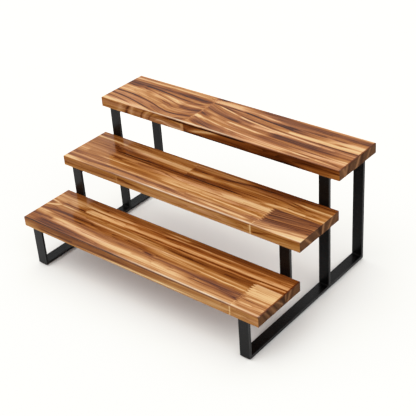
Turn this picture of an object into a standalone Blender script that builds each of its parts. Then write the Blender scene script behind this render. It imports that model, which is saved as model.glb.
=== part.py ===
"""Three-step countertop display stand.

Three glued hardwood shelf panels stand on two welded side frames of black flat
bar.  Each side frame is a stepped run of bars: a rail on the floor, a front
leg, a bearer under every shelf, a riser, a centre upright and a rear leg.  Wood
screws come up through the bearers, and pads sit under the rails.

Metres, +Z up, the low front edge faces -Y, origin on the floor under the middle.
"""
import math

import bmesh
import bpy
from mathutils import Vector

for old in list(bpy.data.objects):
    bpy.data.objects.remove(old, do_unlink=True)

# ---------------------------------------------------------------- dimensions
SHELF_LENGTH = 0.508        # along X
SHELF_DEPTH = 0.109         # along Y
SHELF_THICK = 0.018
SHELF_ARRIS = 0.0015        # rounding of every shelf edge
SHELF_PITCH_Y = 0.1095      # front edge to front edge
LOWER_UNDERSIDE = 0.073     # floor to the underside of the lower shelf
SHELF_RISE = 0.0705         # step from shelf to shelf

BAR_WIDTH = 0.020           # flat bar, wide face along X
BAR_THICK = 0.005
BAR_ARRIS = 0.0007
FRAME_INSET = 0.019         # shelf end to the outer edge of the side frame
UPRIGHT_SETBACK = 0.0005    # shelf front edge to the face of the bar below it
GAP = 0.0003                # fit between touching pieces
MITRE_BACK = GAP / math.sqrt(2.0)   # each bar's share of the gap along its axis

PAD_THICK = 0.0017
PAD_WIDTH = 0.017
PAD_LENGTH = 0.040
PAD_CORNER = 0.004
PAD_INSET = 0.0015          # leg face to the end of the pad

SCREW_SHANK_R = 0.0020
SCREW_HEAD_R = 0.0042
SCREW_HEAD_H = 0.0026
SCREW_IN_WOOD = 0.0115
SCREW_TIP = 0.0030
SCREW_Y = (0.028, 0.082)    # from the front edge of the shelf
HOLE_R_BAR = 0.0026         # clearance hole in a bearer
HOLE_R_WOOD = 0.0025        # pilot hole in a shelf
HOLE_DEPTH = 0.0125
ROUND_SEGMENTS = 16

# ---------------------------------------------------------- derived positions
RAIL_Z = PAD_THICK + GAP
DEPTH = 2.0 * SHELF_PITCH_Y + SHELF_DEPTH
Y_FRONT = -DEPTH / 2.0

SHELF_Y = [Y_FRONT + i * SHELF_PITCH_Y for i in range(3)]
SHELF_Z = [LOWER_UNDERSIDE + i * SHELF_RISE for i in range(3)]

BAR_X = SHELF_LENGTH / 2.0 - FRAME_INSET - BAR_WIDTH / 2.0   # bar centre line

LEG_Y = SHELF_Y[0] + UPRIGHT_SETBACK       # front faces of the uprights
RISER_Y = SHELF_Y[1] + UPRIGHT_SETBACK
CENTRE_Y = SHELF_Y[2] + UPRIGHT_SETBACK
REAR_Y = -Y_FRONT - BAR_THICK              # rear leg ends flush with the shelf

BEARER_TOP = [z - GAP for z in SHELF_Z]
BEARER_LOW = [z - GAP - BAR_THICK for z in SHELF_Z]


# ------------------------------------------------------------------ materials
def finish(ob, rgb, roughness, metallic):
    """Give a piece its own surface finish."""
    mat = bpy.data.materials.new(ob.name + "_finish")
    mat.use_nodes = True
    mat.diffuse_color = (*rgb, 1.0)
    shader = mat.node_tree.nodes["Principled BSDF"]
    shader.inputs["Base Color"].default_value = (*rgb, 1.0)
    shader.inputs["Roughness"].default_value = roughness
    shader.inputs["Metallic"].default_value = metallic
    ob.data.materials.clear()
    ob.data.materials.append(mat)


WOOD_LOWER = ((0.36, 0.17, 0.065), 0.38, 0.0)
WOOD_MIDDLE = ((0.34, 0.155, 0.055), 0.38, 0.0)
WOOD_UPPER = ((0.33, 0.16, 0.07), 0.38, 0.0)
BLACK_COAT = ((0.012, 0.012, 0.013), 0.45, 0.0)
SCREW_STEEL = ((0.045, 0.045, 0.048), 0.35, 1.0)
PAD_RUBBER = ((0.060, 0.050, 0.042), 0.85, 0.0)


# -------------------------------------------------------------------- helpers
def to_object(name, bm, parent=None):
    bmesh.ops.recalc_face_normals(bm, faces=bm.faces[:])
    mesh = bpy.data.meshes.new(name)
    bm.to_mesh(mesh)
    bm.free()
    ob = bpy.data.objects.new(name, mesh)
    bpy.context.scene.collection.objects.link(ob)
    if parent is not None:
        ob.parent = parent
    return ob


def empty(name, location):
    ob = bpy.data.objects.new(name, None)
    ob.location = location
    bpy.context.scene.collection.objects.link(ob)
    return ob


def extrude_outline(points, along, distance):
    """Closed prism from a flat outline, extruded along a vector."""
    bm = bmesh.new()
    face = bm.faces.new([bm.verts.new(p) for p in points])
    made = bmesh.ops.extrude_face_region(bm, geom=[face])
    moved = [v for v in made["geom"] if isinstance(v, bmesh.types.BMVert)]
    bmesh.ops.translate(bm, verts=moved, vec=Vector(along) * distance)
    return bm


def flat_bar(name, side, axis, outline):
    """A length of flat bar.  outline: its (y, z) corners seen from the end of
    the stand; axis: 'Y' or 'Z', the way the bar runs."""
    bm = extrude_outline([(-BAR_WIDTH / 2.0, y, z) for y, z in outline],
                         (1.0, 0.0, 0.0), BAR_WIDTH)
    way = Vector((0.0, 1.0, 0.0)) if axis == "Y" else Vector((0.0, 0.0, 1.0))
    long_edges = [e for e in bm.edges
                  if abs((e.verts[1].co - e.verts[0].co).normalized().dot(way)) > 0.999]
    bmesh.ops.bevel(bm, geom=long_edges, offset=BAR_ARRIS, offset_type="OFFSET",
                    segments=2, profile=0.5, affect="EDGES", clamp_overlap=True)
    ob = to_object(name, bm, side)
    finish(ob, *BLACK_COAT)
    return ob


def rod_cutter(name, places, radius, z_low, z_high, parent=None):
    """Upright round cutters, one for each (x, y) place."""
    bm = bmesh.new()
    for x, y in places:
        ring = [(x + radius * math.cos(2.0 * math.pi * k / ROUND_SEGMENTS),
                 y + radius * math.sin(2.0 * math.pi * k / ROUND_SEGMENTS), z_low)
                for k in range(ROUND_SEGMENTS)]
        face = bm.faces.new([bm.verts.new(p) for p in ring])
        made = bmesh.ops.extrude_face_region(bm, geom=[face])
        moved = [v for v in made["geom"] if isinstance(v, bmesh.types.BMVert)]
        bmesh.ops.translate(bm, verts=moved, vec=(0.0, 0.0, z_high - z_low))
    ob = to_object(name, bm, parent)
    ob.hide_render = True
    ob.display_type = "WIRE"
    return ob


def cut(ob, cutter):
    mod = ob.modifiers.new("drill", "BOOLEAN")
    mod.operation = "DIFFERENCE"
    mod.solver = "EXACT"
    mod.object = cutter


# ---------------------------------------------------------------- shelf panels
def shelf(name, index, wood):
    base = empty(name + "_place", (0.0, SHELF_Y[index], SHELF_Z[index]))
    half = SHELF_LENGTH / 2.0
    bm = extrude_outline([(-half, 0.0, 0.0), (half, 0.0, 0.0),
                          (half, SHELF_DEPTH, 0.0), (-half, SHELF_DEPTH, 0.0)],
                         (0.0, 0.0, 1.0), SHELF_THICK)
    bmesh.ops.bevel(bm, geom=bm.edges[:], offset=SHELF_ARRIS, offset_type="OFFSET",
                    segments=3, profile=0.5, affect="EDGES", clamp_overlap=True)
    ob = to_object(name, bm, base)
    places = [(side * BAR_X, y) for side in (-1.0, 1.0) for y in SCREW_Y]
    cut(ob, rod_cutter(name + "_pilots", places, HOLE_R_WOOD, -0.002, HOLE_DEPTH, base))
    finish(ob, *wood)
    return ob


shelf("lower_shelf", 0, WOOD_LOWER)
shelf("middle_shelf", 1, WOOD_MIDDLE)
shelf("upper_shelf", 2, WOOD_UPPER)


# ----------------------------------------------------------------- side frames
def side_frame(prefix, x):
    side = empty(prefix + "_frame", (x, 0.0, 0.0))
    t, g = BAR_THICK, MITRE_BACK
    rear = REAR_Y + t
    z0, z1 = RAIL_Z, RAIL_Z + t
    lo, hi = BEARER_LOW, BEARER_TOP

    flat_bar(prefix + "_bottom_rail", side, "Y",
             [(LEG_Y + g, z0), (rear - g, z0), (REAR_Y - g, z1), (LEG_Y + t + g, z1)])
    flat_bar(prefix + "_front_leg", side, "Z",
             [(LEG_Y, z0 + g), (LEG_Y + t, z1 + g), (LEG_Y + t, lo[0] - g), (LEG_Y, hi[0] - g)])
    low = flat_bar(prefix + "_lower_bearer", side, "Y",
                   [(LEG_Y + g, hi[0]), (LEG_Y + t + g, lo[0]),
                    (RISER_Y + t - g, lo[0]), (RISER_Y - g, hi[0])])
    flat_bar(prefix + "_middle_riser", side, "Z",
             [(RISER_Y + t, lo[0] + g), (RISER_Y + t, lo[1] - g),
              (RISER_Y, hi[1] - g), (RISER_Y, hi[0] + g)])
    mid = flat_bar(prefix + "_middle_bearer", side, "Y",
                   [(RISER_Y + g, hi[1]), (RISER_Y + t + g, lo[1]),
                    (CENTRE_Y - GAP, lo[1]), (CENTRE_Y - GAP, hi[1])])
    flat_bar(prefix + "_centre_upright", side, "Z",
             [(CENTRE_Y, z1 + GAP), (CENTRE_Y + t, z1 + GAP),
              (CENTRE_Y + t, lo[2] - g), (CENTRE_Y, hi[2] - g)])
    top = flat_bar(prefix + "_top_bearer", side, "Y",
                   [(CENTRE_Y + g, hi[2]), (CENTRE_Y + t + g, lo[2]),
                    (REAR_Y - g, lo[2]), (rear - g, hi[2])])
    flat_bar(prefix + "_rear_leg", side, "Z",
             [(rear, z0 + g), (rear, hi[2] - g), (REAR_Y, lo[2] - g), (REAR_Y, z1 + g)])

    for index, bearer in enumerate((low, mid, top)):
        places = [(0.0, SHELF_Y[index] + y) for y in SCREW_Y]
        cut(bearer, rod_cutter(bearer.name + "_holes", places, HOLE_R_BAR,
                               lo[index] - 0.002, hi[index] + 0.002, side))


side_frame("left", -BAR_X)
side_frame("right", BAR_X)


# ----------------------------------------------------------------- wood screws
def screw(name, location):
    """Pan-head wood screw; the seat of its head is at the object's origin."""
    length = GAP + BAR_THICK + GAP + SCREW_IN_WOOD
    profile = [(0.0, -SCREW_HEAD_H),
               (SCREW_HEAD_R * 0.62, -SCREW_HEAD_H),
               (SCREW_HEAD_R * 0.92, -SCREW_HEAD_H * 0.66),
               (SCREW_HEAD_R, -SCREW_HEAD_H * 0.22),
               (SCREW_HEAD_R, 0.0),
               (SCREW_SHANK_R, 0.0),
               (SCREW_SHANK_R, length - SCREW_TIP),
               (0.0, length)]
    bm = bmesh.new()
    rings = []
    for r, z in profile:
        if r == 0.0:
            rings.append([bm.verts.new((0.0, 0.0, z))])
        else:
            rings.append([bm.verts.new((r * math.cos(2.0 * math.pi * k / ROUND_SEGMENTS),
                                        r * math.sin(2.0 * math.pi * k / ROUND_SEGMENTS), z))
                          for k in range(ROUND_SEGMENTS)])
    for a, b in zip(rings, rings[1:]):
        for k in range(ROUND_SEGMENTS):
            n = (k + 1) % ROUND_SEGMENTS
            if len(a) == 1:
                bm.faces.new((a[0], b[n], b[k]))
            elif len(b) == 1:
                bm.faces.new((a[k], a[n], b[0]))
            else:
                bm.faces.new((a[k], a[n], b[n], b[k]))
    ob = to_object(name, bm)
    ob.location = location
    ob.data.shade_smooth()
    ob.data.set_sharp_from_angle(angle=math.radians(40.0))
    finish(ob, *SCREW_STEEL)
    return ob


for index, tier in enumerate(("lower", "middle", "upper")):
    for prefix, x in (("left", -BAR_X), ("right", BAR_X)):
        for place, y in zip(("front", "rear"), SCREW_Y):
            screw(f"{tier}_{prefix}_{place}_screw",
                  (x, SHELF_Y[index] + y, BEARER_LOW[index] - GAP))


# ------------------------------------------------------------------- foot pads
def foot_pad(name, location):
    """Rounded rectangular pad, its underside on the floor."""
    hx, hy = PAD_WIDTH / 2.0, PAD_LENGTH / 2.0
    steps = 4
    outline = []
    for cx, cy, start in ((hx, hy, 0.0), (-hx, hy, 90.0), (-hx, -hy, 180.0), (hx, -hy, 270.0)):
        ox = cx - math.copysign(PAD_CORNER, cx)
        oy = cy - math.copysign(PAD_CORNER, cy)
        for k in range(steps + 1):
            a = math.radians(start + 90.0 * k / steps)
            outline.append((ox + PAD_CORNER * math.cos(a), oy + PAD_CORNER * math.sin(a), 0.0))
    bm = extrude_outline(outline, (0.0, 0.0, 1.0), PAD_THICK)
    ob = to_object(name, bm)
    ob.location = location
    finish(ob, *PAD_RUBBER)
    return ob


PAD_Y = (LEG_Y + PAD_INSET + PAD_LENGTH / 2.0,
         REAR_Y + BAR_THICK - PAD_INSET - PAD_LENGTH / 2.0)
for prefix, x in (("left", -BAR_X), ("right", BAR_X)):
    for place, y in zip(("front", "rear"), PAD_Y):
        foot_pad(f"{prefix}_{place}_pad", (x, y, 0.0))
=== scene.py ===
# Looks of the three-step display stand: three varnished hardwood shelves on two
# black powder-coated flat-bar side frames. Metres, +Z up, front of the stand at -Y.
import math

import bmesh
import bpy
from mathutils import Matrix, Vector


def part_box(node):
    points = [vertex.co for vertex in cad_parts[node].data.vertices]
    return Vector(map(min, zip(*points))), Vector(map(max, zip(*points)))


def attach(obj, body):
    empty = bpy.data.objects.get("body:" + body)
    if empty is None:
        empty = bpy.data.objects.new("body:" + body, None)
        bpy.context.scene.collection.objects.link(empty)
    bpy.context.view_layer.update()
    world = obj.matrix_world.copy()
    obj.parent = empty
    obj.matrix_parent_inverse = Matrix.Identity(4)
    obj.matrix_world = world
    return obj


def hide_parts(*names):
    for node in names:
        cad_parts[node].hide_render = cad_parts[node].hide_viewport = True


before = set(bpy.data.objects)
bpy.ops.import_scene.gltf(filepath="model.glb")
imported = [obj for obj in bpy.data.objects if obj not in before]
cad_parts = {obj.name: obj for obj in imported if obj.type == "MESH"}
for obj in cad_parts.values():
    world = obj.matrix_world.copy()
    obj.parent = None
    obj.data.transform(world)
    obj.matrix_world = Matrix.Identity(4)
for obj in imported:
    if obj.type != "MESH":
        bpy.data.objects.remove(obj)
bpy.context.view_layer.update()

SCENE = bpy.context.scene
MM = 0.001

SHELF_ARRIS = 0.6 * MM      # rounding of the sanded shelf edges
BAR_ARRIS = 0.75 * MM       # rounding of the coated bar edges
BAR_THICK = 5.0 * MM
WELD_LEG = 2.6 * MM         # leg length of the fillet welds


# ---------------------------------------------------------------- node helpers

class Sig:
    """A socket in a node tree that takes part in arithmetic."""

    def __init__(self, tree, socket):
        self.tree, self.socket = tree, socket

    def __add__(self, o): return self.tree.math("ADD", self, o)
    def __radd__(self, o): return self.tree.math("ADD", self, o)
    def __sub__(self, o): return self.tree.math("SUBTRACT", self, o)
    def __rsub__(self, o): return self.tree.math("SUBTRACT", o, self)
    def __mul__(self, o): return self.tree.math("MULTIPLY", self, o)
    def __rmul__(self, o): return self.tree.math("MULTIPLY", self, o)
    def __truediv__(self, o): return self.tree.math("DIVIDE", self, o)
    def __neg__(self): return self.tree.math("MULTIPLY", self, -1.0)


class Tree:
    """A material's node tree, or a group in one, written as expressions."""

    def __init__(self, name, group=None):
        self.tex = None
        if group is not None:
            self.tree = group
            return
        self.material = bpy.data.materials.new(name)
        self.material.use_nodes = True
        self.tree = self.material.node_tree
        self.tree.nodes.clear()

    def group(self, name, build, *fields):
        """build(tree, fields) made as a node group of its own, fed with these fields."""
        inner = bpy.data.node_groups.new(name, "ShaderNodeTree")
        for i in range(len(fields)):
            inner.interface.new_socket(f"field_{i}", in_out="INPUT", socket_type="NodeSocketFloat")
        inner.interface.new_socket("field", in_out="OUTPUT", socket_type="NodeSocketFloat")
        g = Tree(name, inner)
        given = g.node("NodeGroupInput")
        result = build(g, *[Sig(g, o) for o in given.outputs[:len(fields)]])
        g.put(g.node("NodeGroupOutput").inputs[0], result)
        n = self.node("ShaderNodeGroup", node_tree=inner)
        for i, field in enumerate(fields):
            self.put(n.inputs[i], field)
        return Sig(self, n.outputs[0])

    def node(self, kind, **props):
        n = self.tree.nodes.new(kind)
        for key, value in props.items():
            setattr(n, key, value)
        return n

    def put(self, socket, value):
        if isinstance(value, Sig):
            self.tree.links.new(value.socket, socket)
        else:
            socket.default_value = value

    def math(self, op, *args, clamp=False):
        n = self.node("ShaderNodeMath", operation=op, use_clamp=clamp)
        for i, a in enumerate(args):
            self.put(n.inputs[i], a)
        return Sig(self, n.outputs[0])

    def fma(self, a, b, c):
        return self.math("MULTIPLY_ADD", a, b, c)

    def mix(self, a, b, f):
        """a where f is 0, b where f is 1."""
        if isinstance(a, Sig) or isinstance(b, Sig):
            return self.fma(b - a, f, a)
        return self.fma(f, b - a, a)

    def span(self, x, a, b, lo=0.0, hi=1.0, smooth=True):
        n = self.node("ShaderNodeMapRange", clamp=True,
                      interpolation_type="SMOOTHSTEP" if smooth else "LINEAR")
        for i, v in enumerate((x, a, b, lo, hi)):
            self.put(n.inputs[i], v)
        return Sig(self, n.outputs[0])

    def step(self, x, edge):
        return self.math("GREATER_THAN", x, edge)

    def vec(self, x, y, z):
        n = self.node("ShaderNodeCombineXYZ")
        for i, v in enumerate((x, y, z)):
            self.put(n.inputs[i], v)
        return Sig(self, n.outputs[0])

    def split(self, v):
        n = self.node("ShaderNodeSeparateXYZ")
        self.put(n.inputs[0], v)
        return [Sig(self, o) for o in n.outputs]

    def place(self, which="Object"):
        """The piece's own coordinates, so the pattern stays with the part."""
        if self.tex is None:
            self.tex = self.node("ShaderNodeTexCoord")
        return Sig(self, self.tex.outputs[which])

    def noise(self, v, scale=1.0, detail=2.0, rough=0.5, twist=0.0):
        n = self.node("ShaderNodeTexNoise", noise_dimensions="3D")
        for key, value in (("Vector", v), ("Scale", scale), ("Detail", detail),
                           ("Roughness", rough), ("Distortion", twist)):
            self.put(n.inputs[key], value)
        return Sig(self, n.outputs[0])

    def cells(self, v, scale=1.0, feature="F1"):
        n = self.node("ShaderNodeTexVoronoi", feature=feature)
        self.put(n.inputs["Vector"], v)
        self.put(n.inputs["Scale"], scale)
        return Sig(self, n.outputs["Distance"])

    def curve(self, x, points, straight=False):
        n = self.node("ShaderNodeFloatCurve")
        c = n.mapping.curves[0]
        points = sorted(points)
        while len(c.points) < len(points):
            c.points.new(0.5, 0.5)
        for p, (px, py) in zip(c.points, points):
            p.location = (px, py)
            p.handle_type = "VECTOR" if straight else "AUTO_CLAMPED"
        n.mapping.extend = "HORIZONTAL"
        n.mapping.update()
        self.put(n.inputs["Value"], x)
        return Sig(self, n.outputs[0])

    def ramp(self, x, stops, interpolation="LINEAR"):
        n = self.node("ShaderNodeValToRGB")
        n.color_ramp.interpolation = interpolation
        e = n.color_ramp.elements
        while len(e) < len(stops):
            e.new(0.5)
        for element, (pos, colour) in zip(e, stops):
            element.position = pos
            element.color = (*colour, 1.0)
        self.put(n.inputs[0], x)
        return Sig(self, n.outputs[0])

    def blend(self, a, b, f, mode="MIX"):
        n = self.node("ShaderNodeMix", data_type="RGBA", blend_type=mode)
        self.put(n.inputs[0], f)
        self.put(n.inputs[6], a)
        self.put(n.inputs[7], b)
        return Sig(self, n.outputs[2])

    def bump(self, height, strength, distance):
        n = self.node("ShaderNodeBump")
        n.inputs["Strength"].default_value = strength
        n.inputs["Distance"].default_value = distance
        self.put(n.inputs["Height"], height)
        return Sig(self, n.outputs[0])

    def shader(self, **sockets):
        n = self.node("ShaderNodeBsdfPrincipled")
        for key, value in sockets.items():
            self.put(n.inputs[key.replace("_", " ")], value)
        out = self.node("ShaderNodeOutputMaterial")
        self.tree.links.new(n.outputs[0], out.inputs[0])
        return self.material


def tint(r, g, b, scale=1.0):
    """A display colour (0 to 255) as scene-linear reflectance."""
    def one(c):
        c /= 255.0
        return (c / 12.92 if c <= 0.04045 else ((c + 0.055) / 1.055) ** 2.4) * scale
    return one(r), one(g), one(b)


# ---------------------------------------------------------------- mesh helpers

def finish_mesh(bm, name, sharp=None):
    """Closes off a bmesh as a smooth-shaded mesh with outward faces."""
    bmesh.ops.remove_doubles(bm, verts=bm.verts, dist=1e-6)
    bmesh.ops.dissolve_degenerate(bm, edges=bm.edges, dist=1e-7)
    bmesh.ops.recalc_face_normals(bm, faces=bm.faces)
    mesh = bpy.data.meshes.new(name)
    bm.to_mesh(mesh)
    bm.free()
    mesh.shade_smooth()
    if sharp is not None:
        mesh.set_sharp_from_angle(angle=math.radians(sharp))
    return mesh


def piece(name, mesh, material, nodes, weighted=True):
    """A shown piece that stands for CAD nodes and moves with the stand."""
    obj = bpy.data.objects.new(name, mesh)
    SCENE.collection.objects.link(obj)
    if not mesh.materials:
        mesh.materials.append(material)
    if weighted:
        m = obj.modifiers.new("flat_faces", "WEIGHTED_NORMAL")
        m.keep_sharp = True
        m.weight = 80
    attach(obj, "root")
    if nodes:
        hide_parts(*nodes)
    return obj


def rounded(points, radius, steps=5):
    """A closed outline of (a, b) points with every corner turned in an arc."""
    out = []
    n = len(points)
    for i in range(n):
        p = Vector(points[i])
        a = (Vector(points[i - 1]) - p).normalized()
        b = (Vector(points[(i + 1) % n]) - p).normalized()
        half = a.angle(b) / 2
        back = radius / math.tan(half)
        start, end = p + a * back, p + b * back
        centre = p + (a + b).normalized() * (radius / math.sin(half))
        v0, v1 = start - centre, end - centre
        turn = math.atan2(v0.x * v1.y - v0.y * v1.x, v0.dot(v1))
        for k in range(steps + 1):
            c, s = math.cos(turn * k / steps), math.sin(turn * k / steps)
            out.append(centre + Vector((v0.x * c - v0.y * s, v0.x * s + v0.y * c)))
    return out


def plate(name, outlines, low, high, edge, turn, steps=3):
    """Flat stock cut to outlines (the first outer, the others holes), from low to high
    across its own plane, with rounded edges. turn maps (a, b, across) to x, y, z."""
    bm = bmesh.new()
    # rings of the edge profile, from the low face to the high one
    rings = []
    for k in range(steps + 1):
        a = math.pi / 2 * k / steps
        rings.append((edge * (1 - math.sin(a)), low + edge * (1 - math.cos(a))))
    rings += [(inset, low + high - across) for inset, across in reversed(rings)]
    caps = {0: [], len(rings) - 1: []}
    for line in outlines:
        n = len(line)
        normals = []
        for i in range(n):
            d0 = (line[i] - line[i - 1]).normalized()
            d1 = (line[(i + 1) % n] - line[i]).normalized()
            out = Vector((d0.y + d1.y, -d0.x - d1.x))
            out.normalize()
            c = max(0.3, out.dot(Vector((d1.y, -d1.x))))
            normals.append(out / c)
        loops = []
        for level, (inset, across) in enumerate(rings):
            loop = []
            for i in range(n):
                q = line[i] - normals[i] * inset
                loop.append(bm.verts.new(turn(q.x, q.y, across)))
            loops.append(loop)
            if level in caps:
                caps[level].append(loop)
        for lower, upper in zip(loops, loops[1:]):
            for i in range(n):
                j = (i + 1) % n
                bm.faces.new((lower[i], lower[j], upper[j], upper[i]))
    for loops in caps.values():
        edges = []
        for loop in loops:
            for i in range(len(loop)):
                edges.append(bm.edges.get((loop[i], loop[(i + 1) % len(loop)])))
        bmesh.ops.triangle_fill(bm, use_beauty=True, use_dissolve=False, edges=edges)
    bmesh.ops.recalc_face_normals(bm, faces=bm.faces)
    return bm


def shelf_mesh(name, lo, hi, radius):
    """A board with every edge and corner rounded over."""
    bm = bmesh.new()
    bmesh.ops.create_cube(bm, size=1.0)
    size, mid = hi - lo, (hi + lo) / 2
    for v in bm.verts:
        v.co = Vector([c * s for c, s in zip(v.co, size)]) + mid
    bmesh.ops.bevel(bm, geom=list(bm.edges), offset=radius, segments=6, profile=0.5,
                    affect="EDGES", clamp_overlap=True)
    mesh = finish_mesh(bm, name)
    for face in mesh.polygons:      # finishes: 0 top, 1 front edge, 2 sawn ends, 3 rear edge and underside
        n = face.normal
        if n.z > 0.5:
            face.material_index = 0
        elif abs(n.x) > 0.7:
            face.material_index = 2
        else:
            face.material_index = 1 if n.y < -0.6 else 3
    return mesh


def frame_mesh(name, side):
    """One side frame as the welded whole it is: stepped outline with two open bays."""
    box = {n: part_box(f"{side}_{n}") for n in (
        "bottom_rail", "front_leg", "lower_bearer", "middle_riser", "middle_bearer",
        "centre_upright", "top_bearer", "rear_leg")}
    under = [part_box(f"{n}_shelf")[0].z for n in ("lower", "middle", "upper")]
    t = BAR_THICK
    y0 = box["front_leg"][0].y
    y1 = box["middle_riser"][0].y
    y2 = box["centre_upright"][0].y
    y3 = box["rear_leg"][1].y
    z0 = box["bottom_rail"][0].z
    x0, x1 = box["bottom_rail"][0].x, box["bottom_rail"][1].x
    outer = [(y0, z0), (y3, z0), (y3, under[2]), (y2, under[2]), (y2, under[1]),
             (y1, under[1]), (y1, under[0]), (y0, under[0])]
    front_bay = [(y0 + t, z0 + t), (y0 + t, under[0] - t), (y1 + t, under[0] - t),
                 (y1 + t, under[1] - t), (y2, under[1] - t), (y2, z0 + t)]
    rear_bay = [(y2 + t, z0 + t), (y2 + t, under[2] - t), (y3 - t, under[2] - t), (y3 - t, z0 + t)]
    lines = [rounded(outer, 0.9 * MM), rounded(front_bay, 0.6 * MM), rounded(rear_bay, 0.6 * MM)]
    bm = plate(name, lines, x0, x1, BAR_ARRIS, lambda a, b, c: (c, a, b))
    corners = [  # inside corners that carry a weld: y, z and the way into the open bay
        (y0 + t, z0 + t, 1, 1), (y0 + t, under[0] - t, 1, -1),
        (y1 + t, under[1] - t, 1, -1), (y2, under[1] - t, -1, -1),
        (y2, z0 + t, -1, 1), (y2 + t, z0 + t, 1, 1),
        (y2 + t, under[2] - t, 1, -1), (y3 - t, under[2] - t, -1, -1), (y3 - t, z0 + t, -1, 1)]
    return finish_mesh(bm, name, 40), corners, (x0 + x1) / 2, (x1 - x0) / 2


def weld_mesh(name, corners, x_mid, half):
    """Fillet welds with a stack-of-coins ripple, across the bars' inside corners."""
    bm = bmesh.new()
    rows, cols, pitch = 84, 9, 1.55 * MM
    reach = half - 0.9 * MM
    for index, (cy, cz, sy, sz) in enumerate(corners):
        loops = []
        for i in range(rows + 1):
            f = i / rows
            x = x_mid - reach + 2 * reach * f
            end = min(f, 1 - f) * 2 * reach / (1.6 * MM)
            full = math.sqrt(max(0.0, 1 - (1 - min(1.0, end)) ** 2)) * 0.8 + 0.2
            lean = 1 + 0.10 * math.sin(5.1 * f + 1.7 * index) + 0.06 * math.sin(13.0 * f + index)
            leg = WELD_LEG * full * lean
            loop = [bm.verts.new((x, cy - sy * 0.5 * MM, cz - sz * 0.5 * MM))]
            for k in range(cols):
                a = k / (cols - 1)
                coin = ((x - x_mid) / pitch + 1.3 * (a - 0.5) ** 2 * 4 * 0.35 + 0.37 * index) % 1.0
                ridge = (1 - abs(2 * coin - 1)) ** 0.8
                swell = (0.16 + 0.13 * ridge) * leg * math.sin(math.pi * a)
                dy = (1 - a) * leg + swell
                dz = a * leg + swell
                loop.append(bm.verts.new((x, cy + sy * dy - sy * 0.05 * MM, cz + sz * dz - sz * 0.05 * MM)))
            loops.append(loop)
        n = cols + 1
        for lower, upper in zip(loops, loops[1:]):
            for k in range(n):
                j = (k + 1) % n
                bm.faces.new((lower[k], lower[j], upper[j], upper[k]))
        bm.faces.new(loops[0])
        bm.faces.new(loops[-1])
    return finish_mesh(bm, name, 50)


def lathe(bm, profile, steps=40, radius_of=None):
    """Turns (radius, z) points about Z; both ends close on the axis."""
    rings = []
    for r, z in profile:
        if r < 1e-7:
            rings.append([bm.verts.new((0, 0, z))])
        else:
            ring = []
            for k in range(steps):
                a = 2 * math.pi * k / steps
                rr = radius_of(r, z, a) if radius_of else r
                ring.append(bm.verts.new((rr * math.cos(a), rr * math.sin(a), z)))
            rings.append(ring)
    for lower, upper in zip(rings, rings[1:]):
        for k in range(steps):
            j = (k + 1) % steps
            if len(lower) == 1:
                bm.faces.new((lower[0], upper[j], upper[k]))
            elif len(upper) == 1:
                bm.faces.new((lower[k], lower[j], upper[0]))
            else:
                bm.faces.new((lower[k], lower[j], upper[j], upper[k]))


def screw_mesh(name, head_radius, head_height, shank_radius, shank_length):
    """A pan-head wood screw, head down: z 0 is the seat, the thread points up."""
    bm = bmesh.new()
    profile = [(0.0, -head_height)]
    dome = 10
    for k in range(1, dome + 1):
        a = math.pi / 2 * k / dome
        profile.append((head_radius * math.sin(a) ** 0.75,
                        -head_height + head_height * 0.72 * (1 - math.cos(a))))
    profile += [(head_radius, -0.25 * MM), (head_radius - 0.2 * MM, 0.0), (shank_radius, 0.0)]
    pitch, depth = 1.6 * MM, 0.55 * MM
    plain = 5.2 * MM
    rows = 72
    for k in range(1, rows):
        z = shank_length * k / rows
        taper = min(1.0, (shank_length - z) / (4.0 * MM))
        profile.append((shank_radius * taper, z))
    profile.append((0.0, shank_length))

    def thread(r, z, a):
        if z <= plain or r > shank_radius:
            return r
        turn = (z / pitch - a / (2 * math.pi)) % 1.0
        crest = max(0.0, 1 - abs(2 * turn - 1) * 2.2)
        core = r - depth * min(1.0, (z - plain) / (1.2 * MM))
        return max(0.15 * MM, core + (r - core) * crest)

    lathe(bm, profile, 40, thread)
    body = finish_mesh(bm, name + "_blank")
    cut = bmesh.new()
    wide, arm, deep = 0.62 * MM, 2.5 * MM, 1.5 * MM
    cross = [(wide, arm), (-wide, arm), (-wide, wide), (-arm, wide), (-arm, -wide), (-wide, -wide),
             (-wide, -arm), (wide, -arm), (wide, -wide), (arm, -wide), (arm, wide), (wide, wide)]
    low = [cut.verts.new((x * 1.12, y * 1.12, -head_height - 0.4 * MM)) for x, y in cross]
    high = [cut.verts.new((x * 0.62, y * 0.62, -head_height + deep)) for x, y in cross]
    for i in range(12):
        cut.faces.new((low[i], low[(i + 1) % 12], high[(i + 1) % 12], high[i]))
    cut.faces.new(low)
    cut.faces.new(high)
    cutter = bpy.data.objects.new(name + "_cutter", finish_mesh(cut, name + "_cutter"))
    blank = bpy.data.objects.new(name + "_blank", body)
    for o in (cutter, blank):
        SCENE.collection.objects.link(o)
    m = blank.modifiers.new("recess", "BOOLEAN")
    m.operation, m.object, m.solver = "DIFFERENCE", cutter, "EXACT"
    bpy.context.view_layer.update()
    mesh = bpy.data.meshes.new_from_object(blank.evaluated_get(bpy.context.evaluated_depsgraph_get()))
    for o in (cutter, blank):
        bpy.data.objects.remove(o)
    mesh.name = name
    mesh.shade_smooth()
    mesh.set_sharp_from_angle(angle=math.radians(38))
    return mesh


def pad_mesh(name, lo, hi, top):
    """A self-adhesive foot pad: rounded rectangle with soft edges."""
    line = rounded([(lo.x, lo.y), (hi.x, lo.y), (hi.x, hi.y), (lo.x, hi.y)], 4.0 * MM, 8)
    return finish_mesh(plate(name, [line], lo.z, top, 0.45 * MM, lambda a, b, c: (a, b, c), 4), name, 50)


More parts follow.
